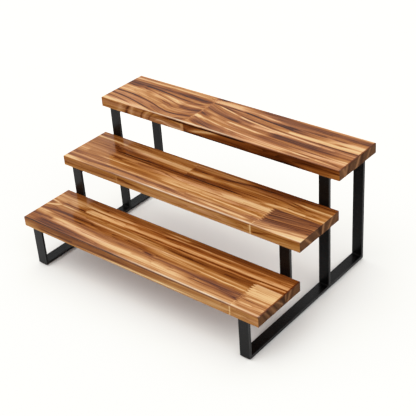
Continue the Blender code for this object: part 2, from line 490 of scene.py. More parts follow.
# ---------------------------------------------------------------- wood figure
# Each shelf is glued up from boards. A board's figure is a set of grain lines, drawn on
# the faces in millimetres: u along the shelf from its middle, r from its rear edge (on
# top) or t from its upper edge (on the front face).
# A line is (tone, strength, width towards the rear, width towards the front,
#            run-in, run-out, points along it); tone 0 is darkest heartwood, 1 palest sapwood.
U_L = (
    (0.60, 0.9, 6, 6, 1, 1, ((-254, 4.5), (-37, 6))),
    (0.82, 0.9, 2.5, 2.2, 1, 30, ((-254, 0.3), (-150, 0.3), (-65, 0.3))),
    (0.82, 0.9, 2.5, 2, 1, 20, ((-254, 10.5), (-171, 10.5), (-104, 12), (-54, 16))),
    (0.40, 0.8, 3, 3, 1, 20, ((-254, 16.5), (-154, 17), (-87, 18.5), (-54, 20))),
    (0.27, 0.9, 3, 6, 1, 20, ((-254, 22.5), (-171, 23), (-104, 23.5), (-54, 26))),
    (0.28, 0.8, 1.5, 3, 30, 1, ((-147, 19.5), (-104, 21.5), (-61, 22))),
    (0.27, 0.9, 10, 10, 1, 40, ((-254, 32), (-222, 33), (-192, 34))),
    (0.40, 0.8, 2.5, 2, 20, 10, ((-217, 26.5), (-171, 27.5), (-112, 31.5))),
    (0.17, 1, 2, 3, 6, 12, ((-215, 30), (-179, 31.5), (-146, 34.5), (-112, 39), (-87, 40), (-66, 38.5))),
    (0.42, 0.8, 1.2, 1.2, 8, 30, ((-212, 34.5), (-184, 36), (-154, 39), (-121, 43.5))),
    (0.77, 0.9, 10, 10, 1, 40, ((-254, 54.5), (-212, 55.5), (-174, 60))),
    (0.76, 0.9, 2, 2, 1, 25, ((-254, 45.5), (-221, 46), (-191, 49))),
    (0.82, 0.8, 2, 2, 1, 25, ((-254, 57.5), (-229, 58), (-204, 60))),
    (0.82, 0.9, 6, 6, 20, 15, ((-191, 50), (-154, 53), (-107, 57.5))),
    (0.86, 0.9, 2.5, 3, 25, 15, ((-187, 38.5), (-154, 43), (-124, 47.5), (-101, 51))),
    (0.36, 0.9, 1.2, 1.4, 4, 10, ((-212, 36.5), (-187, 41.5), (-161, 48), (-137, 53), (-118, 57.5), (-103, 60))),
    (0.40, 0.9, 4.5, 4.5, 15, 1, ((-112, 46), (-87, 44.5), (-60, 43))),
    (0.78, 0.8, 1.4, 1.4, 15, 1, ((-107, 53), (-87, 52), (-60, 50))),
    (0.33, 0.9, 7, 7, 8, 1, ((-110, 61), (-87, 61.5), (-60, 60))),
    (0.60, 0.8, 8, 8, 25, 15, ((-184, 67), (-137, 74), (-104, 80.5), (-60, 72))),
    (0.38, 0.8, 1.4, 1.4, 25, 15, ((-168, 57), (-145, 62), (-125, 66.5), (-103, 70))),
    (0.30, 0.7, 1.1, 1.1, 20, 12, ((-151, 65.5), (-131, 70), (-116, 72), (-101, 72))),
    (0.54, 0.9, 8, 8, 1, 20, ((-254, 72), (-221, 74.5), (-179, 83), (-137, 93), (-117, 98))),
    (0.66, 0.8, 6, 6, 20, 10, ((-127, 101), (-104, 101), (-60, 95))),
    (0.36, 0.8, 2.5, 2.5, 15, 1, ((-92, 80), (-78, 75), (-60, 66))),
    (0.72, 0.8, 1.2, 1.2, 20, 10, ((-200, 66.5), (-165, 73), (-130, 83.5), (-107, 87.5), (-88, 86))),
    (0.20, 1, 1.5, 2, 1, 14, ((-254, 66.5), (-224, 67.5), (-187, 72.5), (-154, 79.5), (-127, 88), (-107, 91.5), (-91, 90.5), (-74, 86), (-61, 81))),
    (0.32, 0.8, 3.5, 3.5, 15, 1, ((-96, 89), (-74, 86.5), (-60, 85))),
    (0.14, 1, 1.4, 2.1, 1, 30, ((-254, 78.5), (-224, 82), (-187, 89.5), (-154, 98), (-124, 104))),
    (0.62, 0.8, 3.5, 3.5, 1, 20, ((-254, 86), (-221, 89), (-187, 95.5), (-161, 101))),
    (0.90, 0.9, 7, 9, 1, 35, ((-254, 104.5), (-196, 105), (-134, 108))),
    (0.24, 0.9, 1.1, 1.3, 1, 25, ((-254, 91), (-234, 92.5), (-211, 97), (-182, 102.5))),
    (0.22, 0.8, 2, 2, 10, 3, ((-90, 103.5), (-77, 100), (-67, 96.5))),
)
U_R = (
    (0.82, 0.95, 6, 5.5, 1, 40, ((-62, 13.5), (-12, 11), (33, 12))),
    (0.95, 0.8, 2, 2, 10, 40, ((-62, 15.5), (-30, 16), (5, 17.5), (30, 18.5))),
    (0.12, 0.9, 5, 3, 20, 30, ((-74, 5), (-46, 4), (-32, 1.5))),
    (0.30, 0.9, 5, 9, 40, 30, ((7, 0.5), (62, 4), (121, 9.5), (196, 11), (252, 10))),
    (0.84, 0.9, 3, 2.5, 40, 1, ((90, 0), (150, 0.5), (254, 0.5))),
    (0.34, 0.9, 3, 6, 20, 20, ((46, 12.5), (87, 16.5), (137, 21.5), (196, 23.5))),
    (0.84, 0.9, 2.2, 2.2, 40, 40, ((12, 13.5), (37, 16), (74, 20.5), (104, 23))),
    (0.95, 0.9, 7, 7, 50, 1, ((171, 30), (204, 30.5), (254, 32.5))),
    (0.48, 0.9, 9, 9, 1, 60, ((-60, 31.5), (-21, 41.5), (29, 51.5))),
    (0.38, 0.9, 5.5, 5.5, 1, 40, ((-60, 37), (-29, 47.5), (13, 54.5), (29, 56))),
    (0.88, 0.9, 5, 5, 40, 1, ((81, 45), (121, 44.5), (171, 45), (254, 44.5))),
    (0.18, 1, 1.2, 1.6, 1, 20, ((-60, 21.5), (-21, 22), (13, 22))),
    (0.08, 1, 1.6, 2.6, 10, 50, ((4, 20.5), (24, 23.5), (46, 26.5), (67, 29.5), (91, 32.5), (117, 35.5), (167, 37))),
    (0.13, 0.8, 3.5, 3.5, 30, 45, ((66, 26), (91, 28.5), (121, 31.5), (152, 33.5))),
    (0.14, 0.8, 2, 2.5, 12, 15, ((98, 26), (115, 28), (132, 29))),
    (0.22, 0.8, 3, 2.5, 15, 20, ((180, 24.5), (205, 26), (230, 25))),
    (0.85, 0.8, 2, 2, 15, 15, ((178, 38), (195, 37), (212, 36))),
    (0.20, 1, 0.8, 1, 8, 30, ((-41, 24.5), (-17, 28.5), (13, 36))),
    (0.20, 1, 0.9, 1.3, 10, 40, ((4, 33.5), (29, 39.5), (54, 43.5), (81, 46.5), (114, 48.5), (154, 50.5))),
    (0.20, 0.9, 1.5, 2, 30, 1, ((130, 50.5), (170, 51.5), (210, 52), (254, 52))),
    (0.97, 1, 1.3, 1.3, 14, 20, ((-47, 25), (-21, 31.5), (13, 40))),
    (0.94, 1, 1.4, 1.6, 10, 60, ((7, 39), (37, 45), (62, 48.5), (91, 52), (121, 54), (154, 56), (217, 58.5))),
    (0.28, 0.8, 1.5, 2.5, 15, 25, ((5, 42.5), (25, 48), (50, 52), (75, 55))),
    (0.70, 0.9, 5, 5, 20, 60, ((42, 55.5), (81, 57), (114, 58))),
    (0.88, 0.9, 2.5, 2.5, 15, 15, ((72, 59), (95, 57.5), (120, 55.5))),
    (0.25, 0.9, 4, 4, 15, 15, ((-13, 54), (7, 55.5), (31, 57))),
    (0.70, 0.8, 2.5, 2.5, 10, 10, ((-61, 48.5), (-44, 53), (-17, 58.5))),
    (0.27, 0.9, 5, 5, 4, 20, ((-60, 61), (-49, 62.5), (-32, 65.5))),
    (0.74, 0.9, 4.5, 4.5, 10, 60, ((-37, 65), (-4, 71.5), (46, 76.5))),
    (0.22, 1, 8, 9, 20, 50, ((84, 66.5), (137, 67.5), (179, 68.5), (232, 69.5))),
    (0.98, 1, 2, 2.2, 14, 20, ((-3, 66), (21, 67.5), (44, 69.5), (66, 72), (96, 74))),
    (0.68, 0.9, 1.3, 1.3, 20, 1, ((60, 72), (96, 74.5), (150, 77.5), (200, 80), (254, 81.5))),
    (0.97, 0.9, 2.2, 1.6, 1, 20, ((-62, 71.5), (-46, 75.5), (-17, 81.5), (16, 87))),
    (0.98, 0.9, 4.5, 4, 4, 6, ((-65, 75), (-57, 74.5), (-44, 78))),
    (0.38, 0.9, 7, 7, 20, 50, ((67, 80), (104, 81), (147, 81.5))),
    (0.97, 1, 1.4, 1.4, 10, 60, ((7, 85.5), (37, 89.5), (74, 92.5), (121, 95), (157, 96.5), (201, 99))),
    (0.84, 0.9, 5.5, 5.5, 60, 1, ((137, 88), (187, 87.5), (254, 86.5))),
    (0.32, 0.8, 1.4, 1.6, 20, 30, ((120, 80.5), (160, 83), (205, 84.5), (235, 85.5))),
    (0.97, 0.8, 2.5, 2.5, 30, 1, ((217, 82.5), (237, 82), (254, 81.5))),
    (0.32, 0.9, 6.5, 6.5, 10, 60, ((-59, 91), (-21, 95.5), (38, 98))),
    (0.86, 0.9, 4, 5, 50, 25, ((37, 103), (96, 101.5), (158, 102.5))),
    (0.38, 0.9, 1, 1.4, 20, 1, ((157, 93.5), (204, 95), (254, 97))),
    (0.84, 0.9, 1.3, 1.4, 10, 1, ((152, 97), (175, 98), (205, 99.5), (254, 102.5))),
    (0.52, 0.9, 3, 4, 40, 1, ((151, 103), (204, 105), (254, 107))),
    (0.82, 0.8, 3, 4, 1, 60, ((-60, 105), (-21, 105.5), (29, 106))),
)
M_A = (
    (0.48, 0.9, 9, 9, 1, 1, ((-254, 5), (-137, 5), (-24, 6.5))),
    (0.62, 0.8, 2, 2, 20, 25, ((-176, 10), (-152, 14), (-132, 18), (-112, 20))),
    (0.38, 0.7, 2.5, 2.5, 20, 25, ((-178, 4), (-150, 8), (-126, 12.5), (-90, 15))),
    (0.68, 0.8, 4, 4, 30, 1, ((-105, 7), (-60, 8), (-24, 9))),
    (0.66, 0.8, 4, 3.5, 1, 8, ((-254, 6), (-244, 6.5), (-232, 7))),
    (0.46, 0.9, 4.5, 4.5, 1, 1, ((-254, 11.5), (-187, 13), (-104, 14), (-24, 15.5))),
    (0.84, 1, 4.5, 7, 40, 1, ((-174, 21.5), (-137, 23), (-87, 25), (-24, 27))),
    (0.90, 0.95, 1.8, 2, 1, 30, ((-254, 17.5), (-212, 18), (-171, 20.5), (-120, 22.5))),
    (0.44, 0.9, 4, 5, 1, 40, ((-254, 27.5), (-204, 28.5), (-154, 31))),
    (0.28, 0.85, 4, 3.5, 25, 40, ((-202, 31), (-165, 34), (-125, 36.5), (-92, 38))),
    (0.45, 0.9, 3, 5, 30, 1, ((-120, 35), (-80, 36.5), (-24, 38))),
    (0.14, 1, 3.5, 2.2, 50, 1, ((-214, 39.5), (-187, 42), (-137, 44), (-87, 44), (-54, 44.5), (-24, 45.5))),
    (0.58, 0.8, 3, 3.5, 20, 1, ((-62, 36), (-40, 37.5), (-24, 38.5))),
    # painted shadow and reflection of the left upright: a dark band slanting forward from its foot
    (0.16, 0.7, 6, 5, 14, 14, ((-210, 25), (-196, 31), (-181, 40), (-164, 46))),
    (0.30, 0.7, 2, 2, 25, 8, ((-234, 35.5), (-215, 37.5), (-203, 39))),
    (0.32, 0.7, 1.6, 1.6, 1, 10, ((-254, 11.5), (-230, 12))),
)
M_B = (
    (0.60, 0.9, 6, 6, 1, 20, ((-26, 8), (29, 9), (90, 9.5))),
    (0.29, 0.9, 8, 6, 50, 1, ((67, 3), (121, 3), (187, 4), (254, 4))),
    (0.25, 1, 1.5, 2, 1, 30, ((-26, 21.5), (13, 21.5), (38, 20))),
    (0.16, 1, 2.4, 2.8, 30, 45, ((17, 21), (46, 19.5), (71, 16.5), (96, 12.5), (124, 11.5), (154, 11.5), (179, 13), (209, 17.5))),
    (0.22, 0.8, 3.5, 3.5, 40, 60, ((81, 9), (121, 8.5), (162, 9), (204, 11.5))),
    (0.79, 0.9, 4, 5.5, 1, 60, ((-26, 30.5), (13, 31.5), (63, 30.5))),
    (0.68, 0.85, 1.6, 1.8, 12, 20, ((48, 29.5), (66, 29), (94, 28.5))),
    (0.62, 0.9, 1.6, 1.8, 40, 60, ((67, 29.5), (104, 28.5), (137, 27.5))),
    (0.32, 0.9, 3, 6, 1, 60, ((-26, 39), (29, 38.5), (96, 37.5), (129, 39.5))),
    (0.44, 0.8, 5, 4, 40, 60, ((46, 36), (87, 34), (137, 36))),
    (0.60, 0.9, 8, 8, 60, 1, ((124, 21.5), (171, 24.5), (212, 30.5), (254, 33))),
    (0.26, 0.9, 0.9, 1.7, 30, 25, ((117, 20.5), (146, 18.5), (171, 18.5), (191, 22), (224, 28))),
    (0.32, 0.9, 1, 2, 30, 25, ((117, 25), (146, 23.5), (171, 24.5), (191, 28.5), (224, 35.5))),
    (0.66, 0.8, 1.4, 1.4, 20, 30, ((105, 27.5), (140, 26.5), (172, 28.5))),
    (0.72, 0.7, 3, 3, 25, 25, ((150, 33.5), (180, 35), (205, 37))),
    (0.50, 0.7, 2.5, 2.5, 20, 25, ((203, 36), (222, 36), (248, 36))),
    (0.95, 0.9, 2, 2.2, 25, 1, ((178, 14.5), (196, 18), (221, 20), (254, 20.5))),
    (0.10, 1, 2.4, 1.6, 1, 40, ((-26, 45.5), (29, 45.5), (73, 45.5), (109, 47))),
    (0.88, 1, 2, 2.5, 25, 1, ((129, 48), (147, 44.5), (164, 42), (181, 41.5), (207, 42.5), (254, 43))),
    (0.84, 0.9, 2.2, 2.6, 12, 14, ((136, 48), (150, 46), (164, 45), (178, 44.5))),
    (0.36, 0.8, 1.2, 1.2, 20, 1, ((185, 46.5), (215, 46.5), (254, 47))),
)
M_C = (
    (0.28, 0.9, 3, 3, 1, 60, ((-254, 46.5), (-154, 48.5), (-54, 49.5), (63, 50))),
    (0.62, 0.8, 1.5, 1.5, 1, 50, ((-254, 47.5), (-220, 48), (-180, 49.5))),
    (0.58, 0.9, 5, 5, 1, 60, ((-254, 50.5), (-221, 50.5), (-174, 53.5))),
    (0.72, 0.9, 1.4, 1.4, 40, 40, ((-200, 54.5), (-150, 54), (-110, 53.5), (-78, 54))),
    (0.54, 0.9, 9, 9, 1, 1, ((-254, 66), (-137, 66), (-37, 68))),
    (0.30, 0.85, 2.8, 2.8, 20, 25, ((-192, 59), (-165, 60), (-132, 60.5))),
    (0.74, 0.9, 5, 5, 1, 5, ((-254, 67), (-240, 67), (-228, 67))),
    (0.78, 0.95, 13, 11, 60, 1, ((-87, 70), (13, 70), (113, 66.5), (166, 66.5))),
    (0.28, 0.9, 0.9, 1.3, 30, 30, ((-124, 57.5), (-87, 57), (-62, 58), (-37, 62), (-7, 66))),
    (0.84, 0.9, 5, 5, 60, 1, ((54, 59.5), (112, 59.5), (166, 60))),
    (0.42, 0.9, 0.8, 1.6, 50, 1, ((1, 66.5), (54, 67), (104, 67.5), (166, 66))),
    (0.56, 0.9, 4, 4, 50, 1, ((71, 71), (121, 73), (166, 73.5))),
    (0.88, 0.9, 1.6, 1.6, 30, 40, ((-205, 72.5), (-146, 72.5), (-100, 72.5))),
    (0.44, 0.9, 5, 5, 1, 60, ((-254, 81.5), (-171, 81), (-87, 80), (-37, 80))),
    (0.30, 0.9, 1, 1.2, 1, 40, ((-254, 85), (-217, 85), (-182, 84.5), (-140, 84))),
    (0.74, 0.9, 1.8, 2.2, 1, 1, ((-254, 89.5), (-204, 89.5), (-137, 87), (-71, 87), (-21, 89.5), (16, 93))),
    (0.95, 0.9, 1.9, 1.9, 40, 1, ((-54, 78), (-12, 79), (21, 78.5), (71, 80), (121, 81.5), (166, 83.5))),
    (0.56, 0.9, 2, 3.5, 60, 1, ((-46, 83.5), (13, 85), (79, 86), (166, 88.5))),
    (0.27, 0.9, 2, 3, 1, 30, ((-254, 96.5), (-212, 95.5), (-171, 94.5), (-121, 93), (-79, 94), (-21, 95.5), (21, 96.5))),
    (0.40, 0.9, 1, 1.4, 20, 1, ((-13, 90.5), (37, 91), (87, 92), (129, 93.5), (166, 95))),
    (0.99, 0.95, 2, 2.5, 40, 20, ((30, 94), (74, 95.5), (96, 96), (117, 96.5), (154, 97.5))),
    (0.46, 0.9, 1, 1.4, 20, 40, ((-13, 96), (37, 98.5), (87, 100), (131, 102))),
    (0.58, 0.9, 5, 6, 30, 60, ((-222, 104), (-150, 102.5), (-60, 103.5))),
    (0.72, 0.8, 4, 5, 60, 1, ((-110, 103), (-4, 104.5), (163, 105))),
    (0.95, 0.9, 5, 6, 1, 50, ((-254, 104), (-224, 105.5), (-194, 108.5))),
)
M_D = (
    (0.30, 1, 25, 25, 1, 1, ((162, 70), (254, 70))),
    (0.22, 0.8, 1.5, 3, 1, 20, ((162, 51.5), (204, 52), (254, 53.5))),
    (0.34, 0.8, 3, 3, 20, 20, ((179, 62.5), (212, 62), (254, 61.5))),
    (0.54, 0.9, 1.3, 1.8, 4, 30, ((166, 77.5), (196, 75.5), (221, 72.5), (254, 68.5))),
    (0.19, 0.9, 1, 1.6, 4, 50, ((166, 81.5), (196, 79.5), (224, 77))),
    (0.38, 0.8, 3, 3, 20, 1, ((187, 84.5), (221, 81), (254, 77))),
    (0.68, 0.95, 3, 12, 30, 1, ((164, 105), (196, 99.5), (221, 94.5), (254, 89.5))),
    (0.97, 0.95, 3, 8, 25, 1, ((176, 110), (204, 105.5), (229, 102.5), (254, 100))),
)
L_A = (
    (0.41, 0.9, 8, 8, 1, 60, ((-254, 8), (-137, 8), (-87, 7.5))),
    (0.46, 0.9, 5, 5, 60, 60, ((-121, 6), (-37, 6), (46, 7))),
    (0.32, 0.9, 3, 2.5, 60, 60, ((-117, 14.5), (-54, 14.5), (29, 14.5), (96, 11.5))),
    (0.35, 0.9, 6, 6, 60, 1, ((37, 5), (121, 5), (254, 6))),
    (0.85, 0.8, 1.6, 1.6, 25, 8, ((-13, 10), (21, 9.5), (47, 9.5))),
    (0.85, 0.95, 3.5, 3.5, 1, 60, ((-254, 19), (-215, 20), (-171, 21.5), (-130, 22.5), (-87, 21), (-21, 19))),
    (0.78, 0.9, 1.3, 1.6, 60, 1, ((-54, 17.5), (29, 16), (129, 15.5), (254, 14.5))),
    (0.36, 0.9, 2, 4.5, 50, 80, ((-37, 20), (46, 20.5), (113, 20.5), (179, 21.5))),
    (0.62, 0.8, 1.5, 1.5, 15, 1, ((190, 21.5), (222, 21), (254, 20))),
    (0.76, 0.9, 7, 7, 1, 20, ((-254, 30), (-212, 30), (-174, 31.5))),
    (0.32, 0.8, 1.5, 1.5, 15, 2, ((-207, 30), (-190, 31), (-174, 32))),
    (0.86, 0.9, 4.5, 4.5, 10, 1, ((-174, 31), (-87, 31.5), (-4, 32), (79, 31.5), (254, 28))),
    (0.25, 0.9, 0.9, 1.2, 10, 30, ((-177, 24.5), (-146, 26), (-112, 25), (-74, 23), (-29, 22))),
    (0.04, 0.95, 1.7, 1.8, 25, 1, ((-243, 36.8), (-212, 37.3), (-174, 37.4))),
    (-0.08, 0.9, 2.6, 2.0, 14, 1, ((-198, 36.2), (-186, 36.8), (-174, 37.2))),
    (0.90, 1, 1.8, 1.8, 1, 5, ((-254, 38.2), (-244, 39.8), (-232, 42))),
    (0.94, 0.95, 3.6, 3.0, 1, 40, ((-173, 37), (-146, 36.8), (-116, 36), (-80, 35), (-40, 34))),
    (0.52, 0.9, 0.8, 1, 30, 1, ((-116, 39.4), (-87, 38.8), (-37, 36.5), (13, 36), (63, 36.5))),
    (0.70, 0.9, 1.4, 1.4, 20, 1, ((-111, 41), (-54, 40), (13, 39), (96, 39), (254, 37))),
    (0.22, 0.9, 0.9, 1.2, 20, 1, ((-111, 44.5), (-71, 44.5), (-34, 43.5), (21, 43))),
    (0.28, 0.95, 1.7, 2.5, 20, 1, ((17, 36), (54, 36), (96, 35), (137, 34.5), (196, 33.5), (254, 32.5))),
    (0.98, 0.9, 1.7, 1.7, 20, 1, ((187, 37), (212, 36.5), (254, 35.5))),
)
L_B = (
    (0.49, 0.9, 5.5, 5.5, 1, 60, ((-254, 51), (-171, 50), (-87, 49.5), (-4, 49.5))),
    (0.58, 0.8, 5, 5, 60, 60, ((-87, 49.5), (-4, 51), (63, 51))),
    (0.20, 1, 1.6, 1.6, 20, 1, ((-48, 43), (-21, 43.5), (13, 43.5), (29, 44))),
    (0.20, 1, 3, 5, 20, 70, ((8, 42), (34, 43.5), (57, 45), (100, 45.5), (170, 46))),
    (0.24, 0.9, 6, 6, 60, 1, ((81, 45), (137, 46.5), (201, 47.5))),
    (0.88, 1, 1.6, 1.8, 1, 6, ((-254, 39), (-239, 41), (-223, 44))),
    (0.97, 1, 2.2, 2.2, 1, 8, ((-254, 55), (-239, 49), (-223, 43.5))),
    (0.30, 0.9, 2.4, 2.4, 1, 10, ((-254, 44.5), (-244, 44.5), (-236, 44))),
    (0.86, 0.95, 1.8, 1.8, 8, 30, ((-228, 43.4), (-205, 43.6), (-172, 44.2))),
    (0.82, 0.9, 1.5, 1.5, 30, 30, ((-181, 53), (-137, 54.5), (-87, 55), (-37, 56.5), (29, 57))),
    (0.34, 0.6, 3, 3, 20, 20, ((-178, 54), (-152, 56), (-128, 58))),
    (0.70, 0.9, 1.8, 1.8, 30, 1, ((21, 56.5), (71, 56.5), (129, 57.5), (201, 60.5))),
    (0.80, 0.8, 1.5, 2, 10, 12, ((-2, 56), (20, 56), (45, 57.5))),
    (0.41, 0.9, 7, 7, 30, 60, ((-221, 66), (-137, 66), (-37, 66), (29, 67.5))),
    (0.22, 0.9, 3, 4, 15, 30, ((-254, 67.5), (-232, 64), (-207, 60.5), (-174, 60), (-127, 62))),
    (0.15, 0.9, 1, 1.4, 70, 30, ((-226, 71.5), (-184, 70.5), (-147, 70), (-104, 70.5))),
    (0.45, 0.9, 4, 4, 40, 30, ((-162, 76), (-112, 77), (-62, 78.5))),
    (0.26, 0.8, 0.9, 1.2, 20, 20, ((-157, 76), (-121, 77), (-74, 79))),
    (0.86, 0.9, 5, 5.5, 1, 20, ((-254, 73.5), (-234, 74), (-213, 76))),
    (0.66, 0.9, 4.5, 5, 60, 60, ((-13, 61), (37, 61.5), (81, 63))),
    (0.78, 0.9, 1.4, 1.6, 60, 1, ((4, 61), (41, 61.5), (74, 63.5), (134, 65.5), (201, 66.5))),
    (0.90, 0.9, 1.3, 1.3, 30, 1, ((120, 66), (165, 66.5), (201, 66.5))),
    (0.48, 0.9, 5, 5, 40, 60, ((-12, 70), (29, 71.5), (71, 72))),
    (0.10, 1, 1.9, 1.9, 10, 10, ((-8, 73.3), (6, 73.8), (22, 74.8))),
    (0.32, 0.9, 0.9, 1.6, 15, 25, ((17, 74.5), (62, 75.5), (94, 77), (117, 80), (140, 83.5))),
    (0.34, 0.95, 7, 5, 60, 1, ((67, 76.5), (121, 77.5), (201, 78))),
    (0.27, 0.9, 3, 5.5, 40, 1, ((117, 82), (146, 82), (174, 84), (201, 87))),
    (0.38, 0.9, 6, 6, 1, 25, ((-254, 88.5), (-221, 89.5), (-199, 92))),
    (0.85, 1, 7, 7.5, 50, 60, ((-234, 79), (-196, 83), (-154, 86), (-104, 89), (-54, 91), (29, 91), (96, 92), (138, 93.5))),
    (0.36, 0.8, 3.5, 3.5, 8, 3, ((-230, 82.5), (-216, 84), (-205, 85))),
    (0.62, 0.8, 6, 6, 60, 1, ((94, 96.5), (146, 97), (201, 99))),
    (0.60, 0.7, 1, 1.2, 30, 30, ((0, 84.5), (50, 86), (100, 88), (130, 90))),
    (0.75, 0.8, 5, 6, 50, 1, ((-52, 101.5), (-13, 102.5), (71, 103.5), (201, 104.5))),
    (0.30, 0.9, 0.9, 1, 30, 30, ((94, 85.5), (117, 87), (144, 88))),
    (0.28, 0.95, 6, 7, 25, 70, ((-241, 104.5), (-211, 99.5), (-179, 99), (-130, 101), (-80, 103))),
    (0.55, 0.9, 3, 3, 1, 20, ((-254, 102.5), (-244, 102), (-232, 100.5))),
)
L_C = (
    (0.86, 1, 20, 14, 1, 1, ((197, 54), (254, 54))),
    (0.97, 0.9, 3.5, 3.5, 8, 1, ((204, 62), (229, 61.5), (254, 60.5))),
    (0.55, 1, 15, 16, 1, 1, ((197, 86), (254, 86))),
    (0.18, 1, 1, 1.6, 1, 1, ((199, 41), (254, 41.5))),
    (0.64, 0.8, 1.5, 1.5, 8, 1, ((201, 51.5), (254, 52))),
    (0.98, 0.9, 1.3, 1.6, 6, 1, ((204, 78.5), (229, 78), (254, 77.5))),
    (0.48, 0.9, 2, 2, 6, 1, ((204, 83.5), (229, 84), (254, 84.5))),
    (0.74, 0.9, 2.3, 2.3, 6, 1, ((204, 93), (229, 92.5), (254, 92))),
    (0.46, 0.8, 3, 3, 6, 1, ((204, 100), (254, 101))),
)

SHADE = 0.64      # display tint to reflectance under this light

GOLDEN = ((0.00, tint(44, 18, 5, SHADE)), (0.20, tint(94, 42, 11, SHADE)), (0.40, tint(146, 80, 30, SHADE)),
          (0.60, tint(187, 122, 59, SHADE)), (0.80, tint(220, 163, 104, SHADE)), (1.00, tint(248, 204, 146, SHADE)))
RUSSET = ((0.00, tint(50, 23, 10, SHADE)), (0.20, tint(100, 51, 24, SHADE)), (0.40, tint(150, 89, 47, SHADE)),
          (0.60, tint(189, 125, 75, SHADE)), (0.80, tint(221, 161, 111, SHADE)), (1.00, tint(247, 202, 150, SHADE)))
# pale colour of the painted highlight along each top's front edge
HIGHLIGHT_PALE = (*tint(250, 230, 198, SHADE), 1.0)
# end grain takes the finish darker than the long grain, and these colours are darkened further as painted shade
END_GRAIN = ((0.00, (0.021, 0.0075, 0.0026)), (0.25, (0.054, 0.0215, 0.0085)), (0.50, (0.112, 0.0500, 0.0210)),
             (0.75, (0.190, 0.0890, 0.0390)), (1.00, (0.270, 0.1340, 0.0600)))

LENGTH = 508.0
SPAN = 133.0     # r and t run from -12 to 121 on the grain curves


def draw_lines(g, tone, x, r, lines):
    """Paints grain lines over a tone field. x is 0 to 1 along the shelf, r is scaled to SPAN."""
    for i in range(0, len(lines), 9):
        tone = g.group("grain_lines", lambda k, *f, part=lines[i:i + 9]: paint_lines(k, *f, part), tone, x, r)
    return tone


def paint_lines(g, tone, x, r, lines):
    for value, strength, rear, front, run_in, run_out, points in lines:
        us = [p[0] for p in points]
        centre = g.curve(x, [((u + 254) / LENGTH, (v + 12) / SPAN) for u, v in points]) \
            if len({p[1] for p in points}) > 1 else (points[0][1] + 12) / SPAN
        a, b = (us[0] + 254) / LENGTH, (us[-1] + 254) / LENGTH
        ends = [(a, 0.0), (min(a + run_in / LENGTH, b), strength),
                (max(b - run_out / LENGTH, a), strength), (b, 0.0)]
        if a <= 0.004:
            ends[:2] = [(0.0, strength)]
        if b >= 0.996:
            ends[-2:] = [(1.0, strength)]
        shown = g.curve(x, ends, straight=True)
        off = r - centre
        if rear == front:
            d = off * (SPAN / rear)
        else:
            d = off * g.fma(g.step(off, 0.0), SPAN / front - SPAN / rear, SPAN / rear)
        d = d * d
        if rear + front > 7.5:      # broad bands have a flatter crest
            d = d * d
        cover = g.math("POWER", 0.3679, d) * shown
        tone = g.fma(value - tone, cover, tone)
    return tone


def cross_bands(g, tone, s, t, bands):
    """Paints slanted bands: (tone, strength, place along s, slope, bow, half width)."""
    if not bands:
        return tone
    return g.group("grain_bands", lambda k, *f: paint_bands(k, *f, bands), tone, s, t)


def paint_bands(g, tone, s, t, bands):
    for value, strength, place, slope, bow, width in bands:
        middle = g.fma(t, slope, place)
        if bow:
            middle = middle + (t - 9.0) * (t - 9.0) * bow
        d = (s - middle) * (1.0 / width)
        cover = g.math("POWER", 0.3679, d * d) * strength
        tone = g.fma(value - tone, cover, tone)
    return tone


def drift(g, u, v, w, seed):
    """Slow wander and ripple shared by every grain line of a face."""
    wander = g.noise(g.vec(u * 0.007, v * 0.045, w * 0.05 + seed), detail=2.0, rough=0.45)
    ripple = g.noise(g.vec(u * 0.035, v * 0.22, w * 0.2 + seed + 9.0), detail=2.0)
    return g.fma(wander, 1.6, -0.8) + g.fma(ripple, 0.8, -0.4), ripple


def fibres(g, u, v, layer, seed):
    """Tone and relief of the fibre itself, along u and across v in millimetres."""
    streak = g.noise(g.vec(u * 0.0055, v * 0.13, layer * 5.7 + seed + 15.0), detail=2.0, rough=0.5)
    strand = g.noise(g.vec(u * 0.0055, v * 0.26, layer * 7.3 + seed), detail=3.0, rough=0.60)
    year = g.noise(g.vec(u * 0.0042, v * 0.085, layer * 4.1 + seed + 2.0), detail=2.0, rough=0.4)
    ring = g.math("FRACT", year * 11.0)
    ring = ring * ring * ring
    fibre = g.noise(g.vec(u * 0.020, v * 1.00, layer * 3.1 + seed + 4.0), detail=3.0, rough=0.65)
    hair = g.noise(g.vec(u * 0.05, v * 3.2, layer * 1.7 + seed + 7.0), detail=2.0, rough=0.6)
    vessel = g.noise(g.vec(u * 0.16, v * 2.6, layer * 2.3 + seed + 11.0), detail=1.0)
    pores = g.span(vessel, 0.66, 0.74)
    tone = g.fma(streak, 0.30, -0.15) + g.fma(strand, 0.76, -0.38) + g.fma(ring, -0.22, 0.055) + g.fma(fibre, 0.30, -0.15)
    tone = tone + g.fma(hair, 0.12, -0.06) - pores * 0.10
    relief = g.fma(fibre, 0.5, hair * 0.3) - pores * 0.8
    return tone, relief, fibre, pores


def stain(g, tone, u, v, layer, seed, golden):
    """Colour of a tone, drifting between a golden and a redder stain."""
    hue = g.noise(g.vec(u * 0.004, v * 0.06, layer * 5.0 + seed + 21.0), detail=2.0)
    return g.blend(g.ramp(tone, GOLDEN), g.ramp(tone, RUSSET), g.span(hue, golden - 0.10, golden + 0.10))


def painted_edge_shade(g, tone, r, figure):
    """Painted shade on the top near its edges: darker towards the front rounding, and in a thin line along the rear
    edge.
    """
    place, start, end, depth = figure["painted_edge_shade"]
    tone = g.fma(g.span(r, start, end), -depth, tone)
    return g.fma(g.span(r, 3.0, 0.6), -0.12, tone)


def cast(g, colour, casts, *place):
    """Boards that differ in colour: each cast is (mask, how it mixes, its colour)."""
    for mask, mode, value in casts:
        colour = g.blend(colour, (*value, 1.0), 1.0 if mask is None else mask(g, *place), mode)
    return colour


